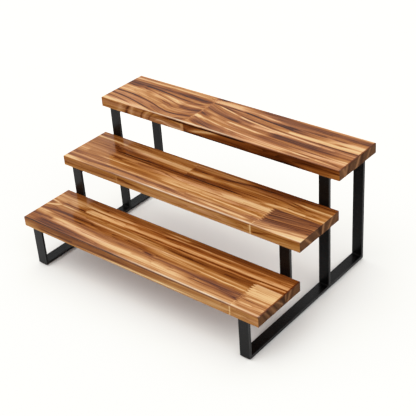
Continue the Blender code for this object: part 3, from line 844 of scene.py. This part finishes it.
def painted_highlight_line(g, colour, x, r, ripple, figure):
    """A painted highlight: a thin pale line along the front edge, where light glints on the varnished arris."""
    highlight_strength = g.curve(x, [((a + 254) / LENGTH, b) for a, b in figure["highlight_strength"]])
    d = (r - figure["painted_edge_shade"][0]) * (1.0 / 1.4)
    cover = g.math("POWER", 0.3679, d * d) * highlight_strength * g.span(ripple, 0.30, 0.60, 0.65, 1.1)
    return g.blend(colour, HIGHLIGHT_PALE, cover)


def top_wood(shelf, seed):
    """The varnished top: boards with their drawn figure."""
    g = Tree(f"{shelf}_shelf_varnished_top")
    lo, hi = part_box(f"{shelf}_shelf")
    figure = FIGURE[shelf]
    px, py, pz = g.split(g.place("Object"))
    u = px * 1000.0
    r = g.fma(py, -1000.0, hi.y * 1000.0)
    shift, ripple = drift(g, u, r, 0.0, seed)
    x = g.math("ADD", (u + 254.0) * (1 / LENGTH), g.fma(ripple, 0.006, -0.003), clamp=True)
    rw = r + shift
    rs = (rw + 12.0) * (1 / SPAN)
    rf = rw + figure["flow"](g, u, r)                  # fine fibre follows the drawn figure
    layer = figure["boards"](g, u, r, ripple)          # which board, as a pattern offset
    detail, relief, fibre, pores = fibres(g, u, rf, layer, seed)
    top = None
    for base, mask, lines in figure["top"]:
        tone = draw_lines(g, base, x, rs, lines)
        top = tone if mask is None else g.mix(top, tone, mask(g, u, r, ripple))
    if figure.get("glue"):
        top = figure["glue"](g, top, u, r, ripple)
    gain, middle, lift = figure["tone"]
    tone = g.math("ADD", g.fma(top, gain, middle - gain * middle + lift), detail, clamp=True)
    # painted shade: the top darkened towards its front rounding and along its rear edge
    tone = painted_edge_shade(g, tone, r, figure)
    # painted shade: a dark line along the top's edge at the right-hand end
    tone = g.mix(tone, 0.14, g.span(u, 251.0, 252.4) * figure["end_edge_shade"])
    colour = cast(g, stain(g, tone, u, rf, layer, seed, figure["golden"]), figure["casts"], u, r, ripple)
    # painted highlight along the front edge of the top
    colour = painted_highlight_line(g, colour, x, r, ripple, figure)
    rough = g.fma(fibre, 0.06, 0.075) + pores * 0.10
    return g.shader(Base_Color=colour, Roughness=rough, IOR=1.48, Specular_IOR_Level=figure["gloss"][0],
                    Normal=g.bump(relief, 0.05, 0.00012))


def front_wood(shelf, seed):
    """The front edge: long grain, duller than the top."""
    g = Tree(f"{shelf}_shelf_front_edge")
    lo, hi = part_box(f"{shelf}_shelf")
    figure = FIGURE[shelf]
    px, py, pz = g.split(g.place("Object"))
    u = px * 1000.0
    t = g.fma(pz, -1000.0, hi.z * 1000.0)
    shift, ripple = drift(g, u, t, 40.0, seed)
    x = g.math("ADD", (u + 254.0) * (1 / LENGTH), g.fma(ripple, 0.006, -0.003), clamp=True)
    tw = t + shift * 0.5
    base, lines, bands, marks = figure["front"]
    detail, relief, fibre, pores = fibres(g, u, tw, 3.0, seed + 31.0)
    tone = draw_lines(g, base, x, (tw + 12.0) * (1 / SPAN), lines)
    tone = cross_bands(g, tone, u + shift * 2.0, t, bands)
    if marks:
        tone = marks(g, tone, u, t, ripple)
    gain, middle, lift = figure["front_tone"]
    # painted shade: the front darkens towards its upper edge, over the top 3 mm
    tone = g.fma(tone, gain, middle - gain * middle + lift) + g.span(t, 3.2, 0.4, 0.0, -0.10)
    tone = g.math("ADD", tone, detail * 0.8, clamp=True)
    colour = cast(g, stain(g, tone, u, tw, 3.0, seed + 31.0, 0.62), figure["front_casts"], u, t)
    return g.shader(Base_Color=colour, Roughness=g.fma(fibre, 0.10, 0.36) + pores * 0.10, IOR=1.48,
                    Specular_IOR_Level=figure["gloss"][1], Normal=g.bump(relief, 0.12, 0.00012))


def end_wood(shelf, seed):
    """The sawn ends: ring bands across the board, open pores, nearly dull."""
    g = Tree(f"{shelf}_shelf_sawn_ends")
    lo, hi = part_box(f"{shelf}_shelf")
    px, py, pz = g.split(g.place("Object"))
    s = g.fma(py, 1000.0, -lo.y * 1000.0)
    t = g.fma(pz, -1000.0, hi.z * 1000.0)
    side = g.math("SIGN", px) * 3.0
    wander = g.noise(g.vec(s * 0.06, t * 0.05, side + seed), detail=2.0)
    ring = g.noise(g.vec(s * 0.35, t * 0.22, side + seed + 61.0), detail=3.0, rough=0.6, twist=0.3)
    speck = g.cells(g.vec(s * 1.5, t * 1.5, side), scale=1.0)
    grit = g.noise(g.vec(s * 2.4, t * 2.4, side + 5.0), detail=2.0, rough=0.6)
    tone = cross_bands(g, g.fma(ring, 0.56, 0.11), s + g.fma(wander, 2.0, -1.0), t, FIGURE[shelf]["ends"])
    # painted shade: the end darkens towards its upper edge, over the top 3 mm
    tone = tone + g.span(t, 2.6, 0.4, 0.0, -0.10)
    tone = g.math("ADD", tone, g.fma(grit, 0.22, -0.11) - g.span(speck, 0.28, 0.12, 0.0, 0.10), clamp=True)
    return g.shader(Base_Color=g.ramp(tone, END_GRAIN), Roughness=g.fma(grit, 0.14, 0.52), IOR=1.48,
                    Specular_IOR_Level=0.02, Normal=g.bump(grit - g.span(speck, 0.28, 0.12), 0.15, 0.00012))


def plain_wood(shelf, seed):
    """The rear edge and the underside: the same stock, its figure left to the fibre."""
    g = Tree(f"{shelf}_shelf_rear_and_underside")
    lo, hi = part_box(f"{shelf}_shelf")
    px, py, pz = g.split(g.place("Object"))
    nx, ny, nz = g.split(g.place("Normal"))
    u = px * 1000.0
    v = g.mix(g.fma(pz, -1000.0, hi.z * 1000.0 + 160.0), g.fma(py, -1000.0, hi.y * 1000.0), g.step(g.math("ABSOLUTE", nz), 0.7))
    shift, ripple = drift(g, u, v, 80.0, seed)
    vw = v + shift * 2.0
    stave = g.math("FLOOR", (v + 3.0) * (1 / 36.0))      # glued staves, a shade apart
    detail, relief, fibre, pores = fibres(g, u, vw, stave, seed + 53.0)
    cloud = g.noise(g.vec(u * 0.006, vw * 0.12, stave * 2.0 + seed), detail=3.0, rough=0.6)
    tone = g.math("ADD", g.fma(cloud, 0.60, 0.08), detail, clamp=True)
    return g.shader(Base_Color=stain(g, tone, u, vw, stave, seed, 0.55), Roughness=g.fma(fibre, 0.12, 0.34) + pores * 0.1,
                    IOR=1.48, Specular_IOR_Level=0.12, Normal=g.bump(relief, 0.12, 0.00012))


def zigzag(g, r, pitch):
    """Finger-joint wave along r, from -1 to 1."""
    saw = g.math("FRACT", r * (1.0 / pitch))
    return g.fma(g.math("ABSOLUTE", g.fma(saw, 2.0, -1.0)), 2.0, -1.0)


def glue_line(g, tone, u, at, width, value, strength):
    """A straight glue line across the grain. strength is a number or a field."""
    d = (u - at) * (1.0 / width)
    d = d * d
    cover = g.math("POWER", 0.3679, d * d) * strength
    return g.fma(value - tone, cover, tone)


# upper shelf: two long boards butted left of the middle, the right one with swept grain

def upper_joint(g, u, r, ripple):
    soft = g.fma(g.span(r, 24.0, 14.0), 15.0, 0.7)
    d = g.fma(ripple, 5.0, u + (61.5 - 2.5))
    return g.span(d / soft, -1.0, 1.0)


def upper_flow(g, u, r):
    x = g.math("ADD", u * (1 / LENGTH), 254 / LENGTH, clamp=True)
    sag = g.curve(x, [((a + 254) / LENGTH, b / 30) for a, b in (
        (-254, 0), (-220, 1.5), (-187, 6), (-154, 13), (-127, 21), (-107, 25), (-91, 24), (-61, 14))])
    left = sag * g.span(r, 12.0, 66.0) * -30.0
    rise = g.math("POWER", 0.3679, (u + 61.5) * (1 / 58.0)) * g.span(r, 4.0, 30.0) * 29.0
    return g.mix(left, rise, g.step(u, -61.5))


def upper_boards(g, u, r, ripple):
    return upper_joint(g, u, r, ripple)


def upper_left(g, u, t):
    return g.step(-60.0, u)


def upper_glue(g, tone, u, r, ripple):
    seen = g.span(r, 30.0, 40.0, 0.0, 0.5) * g.span(g.math("ABSOLUTE", r - 61.0), 4.0, 9.0, 0.1, 1.0) * g.span(ripple, 0.36, 0.56, 0.45, 1.0)
    return glue_line(g, tone, g.fma(ripple, 5.0, u - 2.5), -61.5, 2.0, 0.78, seen * 0.75)


def upper_front_joint(g, tone, u, t, ripple):
    right = g.step(u, -59.5)
    x = g.math("ADD", u * (1 / LENGTH), 0.5, clamp=True)
    dark = g.curve(x, [((a + 254) / LENGTH, b) for a, b in (
        (-60, 0.35), (-20, 0.36), (40, 0.31), (100, 0.28), (150, 0.23), (200, 0.19), (254, 0.28))])
    dark = g.fma(t - 6.0, -0.009, dark)
    dark = g.fma(g.span(t, 7.0, 11.5) * g.span(u, 150.0, 200.0), 0.27, dark)
    edge = g.fma(u, -0.190, 4.0)          # the pale wedge climbs to the right
    d = (t - edge) * 0.36
    wedge = g.math("POWER", 0.3679, d * d) * g.span(u, 45.0, 10.0) * g.span(u, -60.0, -30.0)
    dark = g.fma(0.78 - dark, wedge * 0.95, dark)
    right_tone = g.fma(tone, 0.25, dark - 0.12)
    # painted shade: the right board goes dark along the lower edge of the front
    right_tone = g.mix(right_tone, 0.0, g.span(t, 15.0, 16.6, 0.0, 0.9) * g.span(u, 200.0, 150.0))
    tone = glue_line(g, tone, u, -63.6, 3.2, 0.70, 0.8)
    tone = g.mix(tone, right_tone, right)
    # painted shade: a dark band just under the upper edge of the front, across its middle
    return g.mix(tone, 0.06, g.span(t, 4.2, 2.0) * g.span(u, -125.0, -85.0) * g.span(u, 90.0, 40.0) * 0.8)


# middle shelf: a rear row butted near the middle, a front row finger-jointed to a dark block

def middle_rear_right(g, u, r, ripple):
    return g.step(g.fma(ripple, 2.0, u), -24.7)


def middle_front_row(g, u, r, ripple):
    return g.step(g.fma(ripple, 1.0, r), 47.6)


def middle_edge(g, u, r):
    fingers = g.fma(zigzag(g, r, 5.4), 3.7, 165.0)
    return g.mix(fingers, 160.6, g.step(r, 95.5))


def middle_block(g, u, r, ripple):
    return g.math("GREATER_THAN", u, middle_edge(g, u, r)) * g.step(r, 49.4)


def middle_boards(g, u, r, ripple):
    rear = middle_rear_right(g, u, r, ripple)
    front = g.fma(middle_block(g, u, r, ripple), 1.0, 2.0)
    return g.mix(rear, front, middle_front_row(g, u, r, ripple))


def middle_glue(g, tone, u, r, ripple):
    tone = glue_line(g, tone, u, middle_edge(g, u, r), 1.3, 0.88, g.span(r, 50.0, 52.0) * g.span(r, 95.0, 93.0, 0.0, 0.5))
    return glue_line(g, tone, u, 160.4, 1.2, 0.86, g.span(r, 94.0, 97.0, 0.0, 0.55))


def middle_front_marks(g, tone, u, t, ripple):
    tone = glue_line(g, tone, u, -125.0, 0.9, 0.72, 0.6)
    return glue_line(g, tone, u, 160.6, 1.3, 0.92, 0.9)


def middle_rear_row(g, u, r, ripple):
    return g.span(r, 49.0, 46.0) * g.span(u, -140.0, -60.0)


# lower shelf: a narrow rear row, and a front row finger-jointed to a pale block

def lower_front_row(g, u, r, ripple):
    return g.step(g.fma(ripple, 1.0, r), 41.0)


def lower_rear_row(g, u, r, ripple):
    return g.span(r, 42.5, 39.5) * g.span(r, 8.0, 18.0, 0.4, 1.0) * g.span(u, -190.0, -110.0, 0.25, 1.0)


def lower_edge(g, u, r):
    fingers = g.fma(zigzag(g, r, 5.4), 3.5, 200.4)
    return g.mix(fingers, 200.2, g.step(r, 93.5))


def lower_block(g, u, r, ripple):
    return g.math("GREATER_THAN", u, lower_edge(g, u, r)) * g.step(r, 41.2)


def lower_boards(g, u, r, ripple):
    front = g.fma(lower_block(g, u, r, ripple), 1.0, 2.0)
    short = g.step(u, -174.0) * -1.0
    return g.mix(short, front, lower_front_row(g, u, r, ripple))


def lower_glue(g, tone, u, r, ripple):
    tone = glue_line(g, tone, u, lower_edge(g, u, r), 1.3, 0.24, g.span(r, 42.0, 44.0) * g.span(r, 93.0, 91.0, 0.0, 0.5))
    return glue_line(g, tone, u, 200.2, 1.2, 0.84, g.span(r, 92.0, 95.0, 0.0, 0.6))


def lower_front_marks(g, tone, u, t, ripple):
    return glue_line(g, tone, u, 200.6, 1.3, 0.90, 0.9)


def no_flow(g, u, r):
    return 0.0


def middle_flow(g, u, r):
    return g.step(r, 49.4) * g.step(u, 163.0) * (u - 166.0) * 0.13


FIGURE = {
    "upper": {
        "flow": upper_flow, "boards": upper_boards, "glue": upper_glue, "tone": (1.22, 0.55, 0.01), "golden": 0.50, "gloss": (0.16, 0.01),
        "casts": (), "front_casts": ((upper_left, "MULTIPLY", (1.04, 1.13, 1.26)),),
        "front_tone": (1.2, 0.50, 0.05), "painted_edge_shade": (105.8, 106.2, 109.0, 0.28), "end_edge_shade": 0.8,
        "highlight_strength": ((-254, 0.12), (-200, 0.2), (-150, 0.40), (-100, 0.72), (-50, 0.88), (0, 0.80), (30, 0.55), (70, 0.15), (254, 0.05)),
        "top": ((0.57, None, U_L), (0.50, upper_joint, U_R)),
        "front": (0.50, (
            (0.78, 0.9, 1.7, 1.7, 8, 6, ((-128, 13.5), (-112, 10.5), (-95, 13.5), (-78, 15.5), (-62, 15))),
            (0.33, 0.8, 1.2, 1.6, 8, 20, ((-130, 7.5), (-112, 4), (-90, 4.5), (-62, 10))),
            (0.62, 0.8, 1.6, 1.6, 10, 4, ((-95, 3.5), (-80, 4), (-61, 6.5))),
        ), (
            (0.64, 0.9, -203, -0.58, 0.0, 6.0), (0.24, 0.95, -187, -0.55, 0.03, 3.6),
            (0.69, 0.9, -178, -0.35, 0.03, 4.5), (0.46, 0.7, -166, -0.45, 0.03, 3.0),
            (0.25, 0.95, -151, -0.60, 0.05, 2.0), (0.66, 0.8, -142, -0.70, 0.05, 3.0),
            (0.30, 0.85, -130, -0.80, 0.05, 2.2),
        ), upper_front_joint),
        "ends": ((0.50, 0.8, 5.0, 0.2, 0, 4.0), (0.84, 0.9, 10.0, 0.45, 0, 3.8), (0.82, 0.9, 22.5, -0.30, 0, 3.2),
                 (0.22, 0.9, 29.5, -0.3, 0, 3.6), (0.34, 0.8, 42.0, -0.3, 0, 4.0), (0.88, 0.95, 59.0, -0.58, 0, 3.5),
                 (0.14, 0.9, 68.0, -0.3, 0, 4.6), (0.34, 0.8, 78.0, -0.4, 0, 3.0), (0.76, 0.95, 91.5, -0.66, 0, 2.4),
                 (0.46, 0.8, 101.5, -0.3, 0, 4.0)),
    },
    "middle": {
        "flow": middle_flow, "boards": middle_boards, "glue": middle_glue, "tone": (1.13, 0.52, 0.016), "golden": 0.58, "gloss": (0.32, 0.02),
        "casts": ((middle_rear_row, "MULTIPLY", (1.0, 0.96, 0.88)), (middle_block, "ADD", (0.008, 0.012, 0.012))),
        "front_casts": ((None, "MULTIPLY", (1.0, 1.05, 1.03)),),
        "front_tone": (1.25, 0.58, 0.02), "painted_edge_shade": (106.0, 106.2, 109.0, 0.32), "end_edge_shade": 0.0,
        "highlight_strength": ((-254, 0.05), (-180, 0.1), (-120, 0.25), (-75, 0.6), (-40, 0.9), (30, 0.9), (75, 0.75), (130, 0.85), (160, 0.55), (180, 0.25), (225, 0.45), (254, 0.55)),
        "top": ((0.48, None, M_A), (0.48, middle_rear_right, M_B), (0.52, middle_front_row, M_C), (0.60, middle_block, M_D)),
        "front": (0.66, (
            (0.52, 0.8, 5, 5, 1, 60, ((-254, 6), (-120, 7), (-60, 8))),
            (0.40, 0.9, 1.4, 2.2, 1, 30, ((-254, 11.5), (-190, 10.8), (-128, 9))),
            (0.34, 0.85, 3, 3, 3, 40, ((-124, 6), (-90, 9), (-50, 12))),
            (0.72, 0.7, 2, 2, 40, 40, ((-40, 4), (20, 4), (70, 7), (120, 12))),
            (0.40, 0.85, 3, 4, 25, 3, ((95, 1), (130, 3), (158, 4))),
            (0.46, 0.85, 6, 6, 1, 1, ((161, 7), (254, 6))),
            (0.62, 0.7, 2, 2, 20, 1, ((205, 12), (254, 9))),
            (0.28, 0.9, 1.2, 1.6, 4, 20, ((162, 13), (180, 9), (205, 4))),
        ), (), middle_front_marks),
        "ends": ((0.42, 0.8, 7.0, 0.2, 0, 4.5), (0.86, 0.95, 13.5, 0.95, 0, 2.8), (0.30, 0.8, 30.0, 0.5, 0, 4.5),
                 (0.04, 0.95, 51.5, 0.42, 0, 4.6), (0.54, 0.95, 40.8, 0.80, 0, 1.2), (0.06, 0.9, 58.0, 0.0, 0, 2.0),
                 (0.86, 0.95, 65.6, -0.24, 0, 2.6), (0.28, 0.8, 74.0, -0.3, 0, 3.5), (0.80, 0.95, 91.5, -0.76, 0, 3.2),
                 (0.52, 0.8, 105.0, -0.6, 0, 3.6)),
    },
    "lower": {
        "flow": no_flow, "boards": lower_boards, "glue": lower_glue, "tone": (1.16, 0.52, 0.020), "golden": 0.64, "gloss": (0.32, 0.07),
        "casts": ((lower_rear_row, "MULTIPLY", (1.02, 0.88, 0.77)),),
        "front_casts": ((None, "MULTIPLY", (1.03, 1.15, 1.25)),),
        "front_tone": (1.12, 0.50, -0.02), "painted_edge_shade": (105.2, 105.4, 107.8, 0.52), "end_edge_shade": 0.8,
        "highlight_strength": ((-254, 0.0), (-70, 0.05), (-20, 0.3), (30, 0.6), (60, 0.75), (130, 0.9), (180, 0.8), (205, 0.5), (254, 0.3)),
        "top": ((0.45, None, L_A), (0.50, lower_front_row, L_B), (0.88, lower_block, L_C)),
        "front": (0.62, (
            (0.40, 0.9, 7, 7, 1, 60, ((-254, 4), (-150, 5), (0, 6), (90, 4))),
            (0.28, 0.95, 2.2, 2.6, 15, 60, ((-225, 10), (-170, 11.5), (-110, 10.8), (-60, 10.5), (10, 8.5))),
            (0.74, 0.9, 2.5, 4, 1, 40, ((-254, 12.5), (-235, 14.5), (-205, 17.5))),
            (0.95, 0.95, 1.6, 1.9, 60, 60, ((-105, 16), (-40, 15.5), (30, 15), (90, 14.7), (150, 14.5))),
            (0.70, 0.8, 3, 3, 30, 1, ((120, 9), (160, 9), (199, 9))),
            (0.52, 0.8, 3, 3, 3, 1, ((202, 6), (230, 7), (254, 8))),
        ), (), lower_front_marks),
        "ends": ((0.44, 0.8, 4.0, 0.7, 0, 2.4), (0.20, 0.85, 10.5, 0.55, 0, 2.2), (0.66, 0.95, 15.5, 0.85, 0, 3.0),
                 (0.14, 0.95, 21.5, 0.62, 0, 2.8), (0.66, 0.95, 31.0, 0.72, 0, 3.4), (0.18, 0.9, 38.0, 0.75, 0, 1.8),
                 (0.76, 0.95, 46.5, 1.15, 0, 2.5), (0.08, 0.95, 58.0, 0.72, 0, 3.4), (0.10, 0.9, 65.0, 0.0, 0, 2.4),
                 (0.68, 0.95, 70.2, 0.05, 0, 1.9), (0.20, 0.85, 75.0, -0.2, 0, 2.0), (0.74, 0.95, 84.0, -0.52, 0, 2.5),
                 (0.22, 0.8, 90.0, -0.3, 0, 2.6), (0.44, 0.8, 99.0, -0.5, 0, 3.6)),
    },
}


# ---------------------------------------------------------------- other finishes

def powder_coat(edge_highlight=False):
    """Satin black powder coat: orange-peel relief, faint mottling, softer sheen in patches.

    The arrises carry a painted highlight: a shade greyer, and glossier.
    """
    g = Tree("powder_coat_edge_highlight" if edge_highlight else "powder_coat_black")
    p = g.place("Object")
    peel = g.noise(p, scale=620.0, detail=2.0, rough=0.5)
    grit = g.noise(p, scale=3200.0, detail=1.0)
    cloud = g.noise(p, scale=38.0, detail=3.0, rough=0.6)
    shade = g.fma(cloud, 0.5, grit * 0.5)
    # the arris coat is a paler grey as a painted highlight
    dark, mid, pale = (14, 24, 40) if edge_highlight else (4, 7, 11)
    colour = g.ramp(shade, ((0.25, tint(dark, dark, dark)), (0.50, tint(mid, mid, mid)), (0.75, tint(pale, pale, pale - 1))))
    rough = g.fma(cloud, 0.14, 0.20) + g.fma(grit, 0.10, -0.05)
    return g.shader(Base_Color=colour, Roughness=rough, IOR=1.5, Specular_IOR_Level=0.45 if edge_highlight else 0.13,
                    Normal=g.bump(g.fma(grit, 0.25, peel), 0.16, 0.00010))


def screw_steel():
    """Zinc-plated steel with fine turning marks."""
    g = Tree("screw_zinc")
    x, y, z = g.split(g.place("Object"))
    rad = g.math("SQRT", g.fma(x, x, y * y))
    turned = g.noise(g.vec(rad * 5200.0, z * 2600.0, 0.0), detail=2.0)
    bloom = g.noise(g.place("Object"), scale=420.0, detail=3.0)
    shade = g.fma(turned, 0.35, bloom * 0.65)
    colour = g.ramp(shade, ((0.30, tint(150, 147, 138)), (0.55, tint(182, 180, 172)), (0.80, tint(206, 205, 199))))
    return g.shader(Base_Color=colour, Metallic=1.0, Roughness=g.fma(bloom, 0.22, 0.20),
                    Normal=g.bump(turned, 0.12, 0.00004))


def pad_rubber():
    """Dull brown-grey rubber with a moulded grain."""
    g = Tree("pad_rubber")
    p = g.place("Object")
    grain = g.cells(p, scale=1500.0)
    dust = g.noise(p, scale=160.0, detail=4.0, rough=0.65)
    colour = g.ramp(dust, ((0.30, tint(96, 85, 74)), (0.60, tint(116, 103, 90)), (0.85, tint(138, 125, 111))))
    return g.shader(Base_Color=colour, Roughness=g.fma(dust, 0.2, 0.62), IOR=1.45,
                    Normal=g.bump(grain, 0.3, 0.00012))


# ---------------------------------------------------------------- the stand

for index, name in enumerate(("lower", "middle", "upper")):
    lo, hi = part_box(f"{name}_shelf")
    mesh = shelf_mesh(f"{name}_shelf_board", lo, hi, SHELF_ARRIS)
    for finish in (top_wood, front_wood, end_wood, plain_wood):
        mesh.materials.append(finish(name, 13.0 * (index + 1)))
    piece(f"{name}_shelf_board", mesh, None, [f"{name}_shelf"])

coat, edge_highlight_coat = powder_coat(), powder_coat(edge_highlight=True)
for side in ("left", "right"):
    mesh, corners, x_mid, half = frame_mesh(f"{side}_side_frame", side)
    mesh.materials.append(coat)
    mesh.materials.append(edge_highlight_coat)
    for face in mesh.polygons:
        # bevelled arris faces take the coat with the painted highlight
        face.material_index = int(max(abs(a) for a in face.normal) < 0.97)
    piece(f"{side}_side_frame", mesh, coat, [f"{side}_{n}" for n in (
        "bottom_rail", "front_leg", "lower_bearer", "middle_riser", "middle_bearer",
        "centre_upright", "top_bearer", "rear_leg")])
    piece(f"{side}_frame_welds", weld_mesh(f"{side}_frame_welds", corners, x_mid, half), coat,
          [], weighted=False)

steel = screw_steel()
sample_lo, sample_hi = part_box("lower_left_front_screw")
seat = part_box("left_lower_bearer")[0].z
screw = screw_mesh("shelf_screw", (sample_hi.x - sample_lo.x) / 2, 2.6 * MM, 2.0 * MM, sample_hi.z - seat)
screw.materials.append(steel)
turn = 0.0
for shelf in ("lower", "middle", "upper"):
    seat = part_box(f"left_{shelf if shelf != 'upper' else 'top'}_bearer")[0].z
    for side in ("left", "right"):
        for row in ("front", "rear"):
            node = f"{shelf}_{side}_{row}_screw"
            lo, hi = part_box(node)
            obj = piece(f"{shelf}_{side}_{row}_pan_screw", screw, steel, [node], weighted=False)
            turn += 0.83
            obj.matrix_world = Matrix.Translation(((lo.x + hi.x) / 2, (lo.y + hi.y) / 2, seat)) @ Matrix.Rotation(turn, 4, "Z")

rubber = pad_rubber()
for side in ("left", "right"):
    for row in ("front", "rear"):
        node = f"{side}_{row}_pad"
        lo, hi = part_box(node)
        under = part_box(f"{side}_bottom_rail")[0].z
        piece(f"{side}_{row}_foot_pad", pad_mesh(f"{side}_{row}_foot_pad", lo, hi, under), rubber,
              [node])


# ---------------------------------------------------------------- floor, light, camera

def floor_finish():
    g = Tree("studio_floor")
    fine = g.noise(g.place("Object"), scale=3.0, detail=2.0)
    colour = g.ramp(fine, ((0.3, (0.862, 0.860, 0.840)), (0.7, (0.868, 0.866, 0.846))))
    return g.shader(Base_Color=colour, Roughness=0.9, Specular_IOR_Level=0.0)


bm = bmesh.new()
bmesh.ops.create_grid(bm, x_segments=8, y_segments=8, size=150.0)
floor = bpy.data.objects.new("studio_floor", finish_mesh(bm, "studio_floor"))
floor.data.materials.append(floor_finish())
SCENE.collection.objects.link(floor)

world = bpy.data.worlds.new("studio_light")
SCENE.world = world
world.use_nodes = True
world.node_tree.nodes.clear()
back = world.node_tree.nodes.new("ShaderNodeBackground")
back.inputs["Color"].default_value = (1.0, 0.995, 0.985, 1.0)
back.inputs["Strength"].default_value = 0.71
out = world.node_tree.nodes.new("ShaderNodeOutputWorld")
world.node_tree.links.new(back.outputs[0], out.inputs[0])

# broad softboxes all round, the stronger ones on the left, and a low fill from behind that
# leaves no glare on the varnish: (name, azimuth, elevation, power, seen in gloss)
for name, azimuth, elevation, power, seen in (
        ("softbox_left_rear", 225, 62, 0.77, True), ("softbox_left_front", 315, 62, 0.76, True),
        ("softbox_right", 90, 38, 0.69, True), ("softbox_left", 270, 38, 0.30, True),
        ("softbox_front", 0, 62, 0.58, True), ("softbox_rear", 180, 62, 0.06, True),
        ("low_fill_rear", 180, 36, 0.58, False)):
    light = bpy.data.lights.new(name, "SUN")
    light.energy = power
    light.angle = math.radians(45)
    light.color = (1.0, 0.995, 0.985)
    lamp = bpy.data.objects.new(name, light)
    lamp.visible_glossy = seen
    SCENE.collection.objects.link(lamp)
    a, e = math.radians(azimuth), math.radians(elevation)
    source = Vector((math.sin(a) * math.cos(e), -math.cos(a) * math.cos(e), math.sin(e)))
    lamp.rotation_mode = "QUATERNION"
    lamp.rotation_quaternion = (-source).to_track_quat("-Z", "Y")

SCENE.view_settings.view_transform = "Standard"
SCENE.view_settings.look = "None"
SCENE.view_settings.use_curve_mapping = True       # soft shoulder for the bright floor
grade = SCENE.view_settings.curve_mapping
grade.clip_max_x = 4.0
for index, knots in ((3, ((0.0, 0.0), (0.30, 0.30), (0.60, 0.595), (0.80, 0.782), (1.0, 0.905), (1.26, 0.986), (1.70, 1.0))),
                     (2, ((0.0, 0.0), (0.60, 0.60), (0.90, 0.885), (1.0, 0.968)))):
    line = grade.curves[index]
    while len(line.points) < len(knots):
        line.points.new(0.5, 0.5)
    for point, place in zip(line.points, knots):
        point.location = place
grade.update()

cam = bpy.data.cameras.new("camera")
cam.sensor_width = 36.0
cam.lens = 84.774
cam.clip_start, cam.clip_end = 0.05, 400.0
view = bpy.data.objects.new("camera", cam)
SCENE.collection.objects.link(view)
right = Vector((0.778179, 0.624869, -0.063059))
up = Vector((-0.287742, 0.443975, 0.848582))
toward = Vector((0.558249, -0.642204, 0.525293))
view.matrix_world = Matrix((
    (right.x, up.x, toward.x, 0.94916), (right.y, up.y, toward.y, -1.05672),
    (right.z, up.z, toward.z, 0.98359), (0, 0, 0, 1)))
SCENE.camera = view
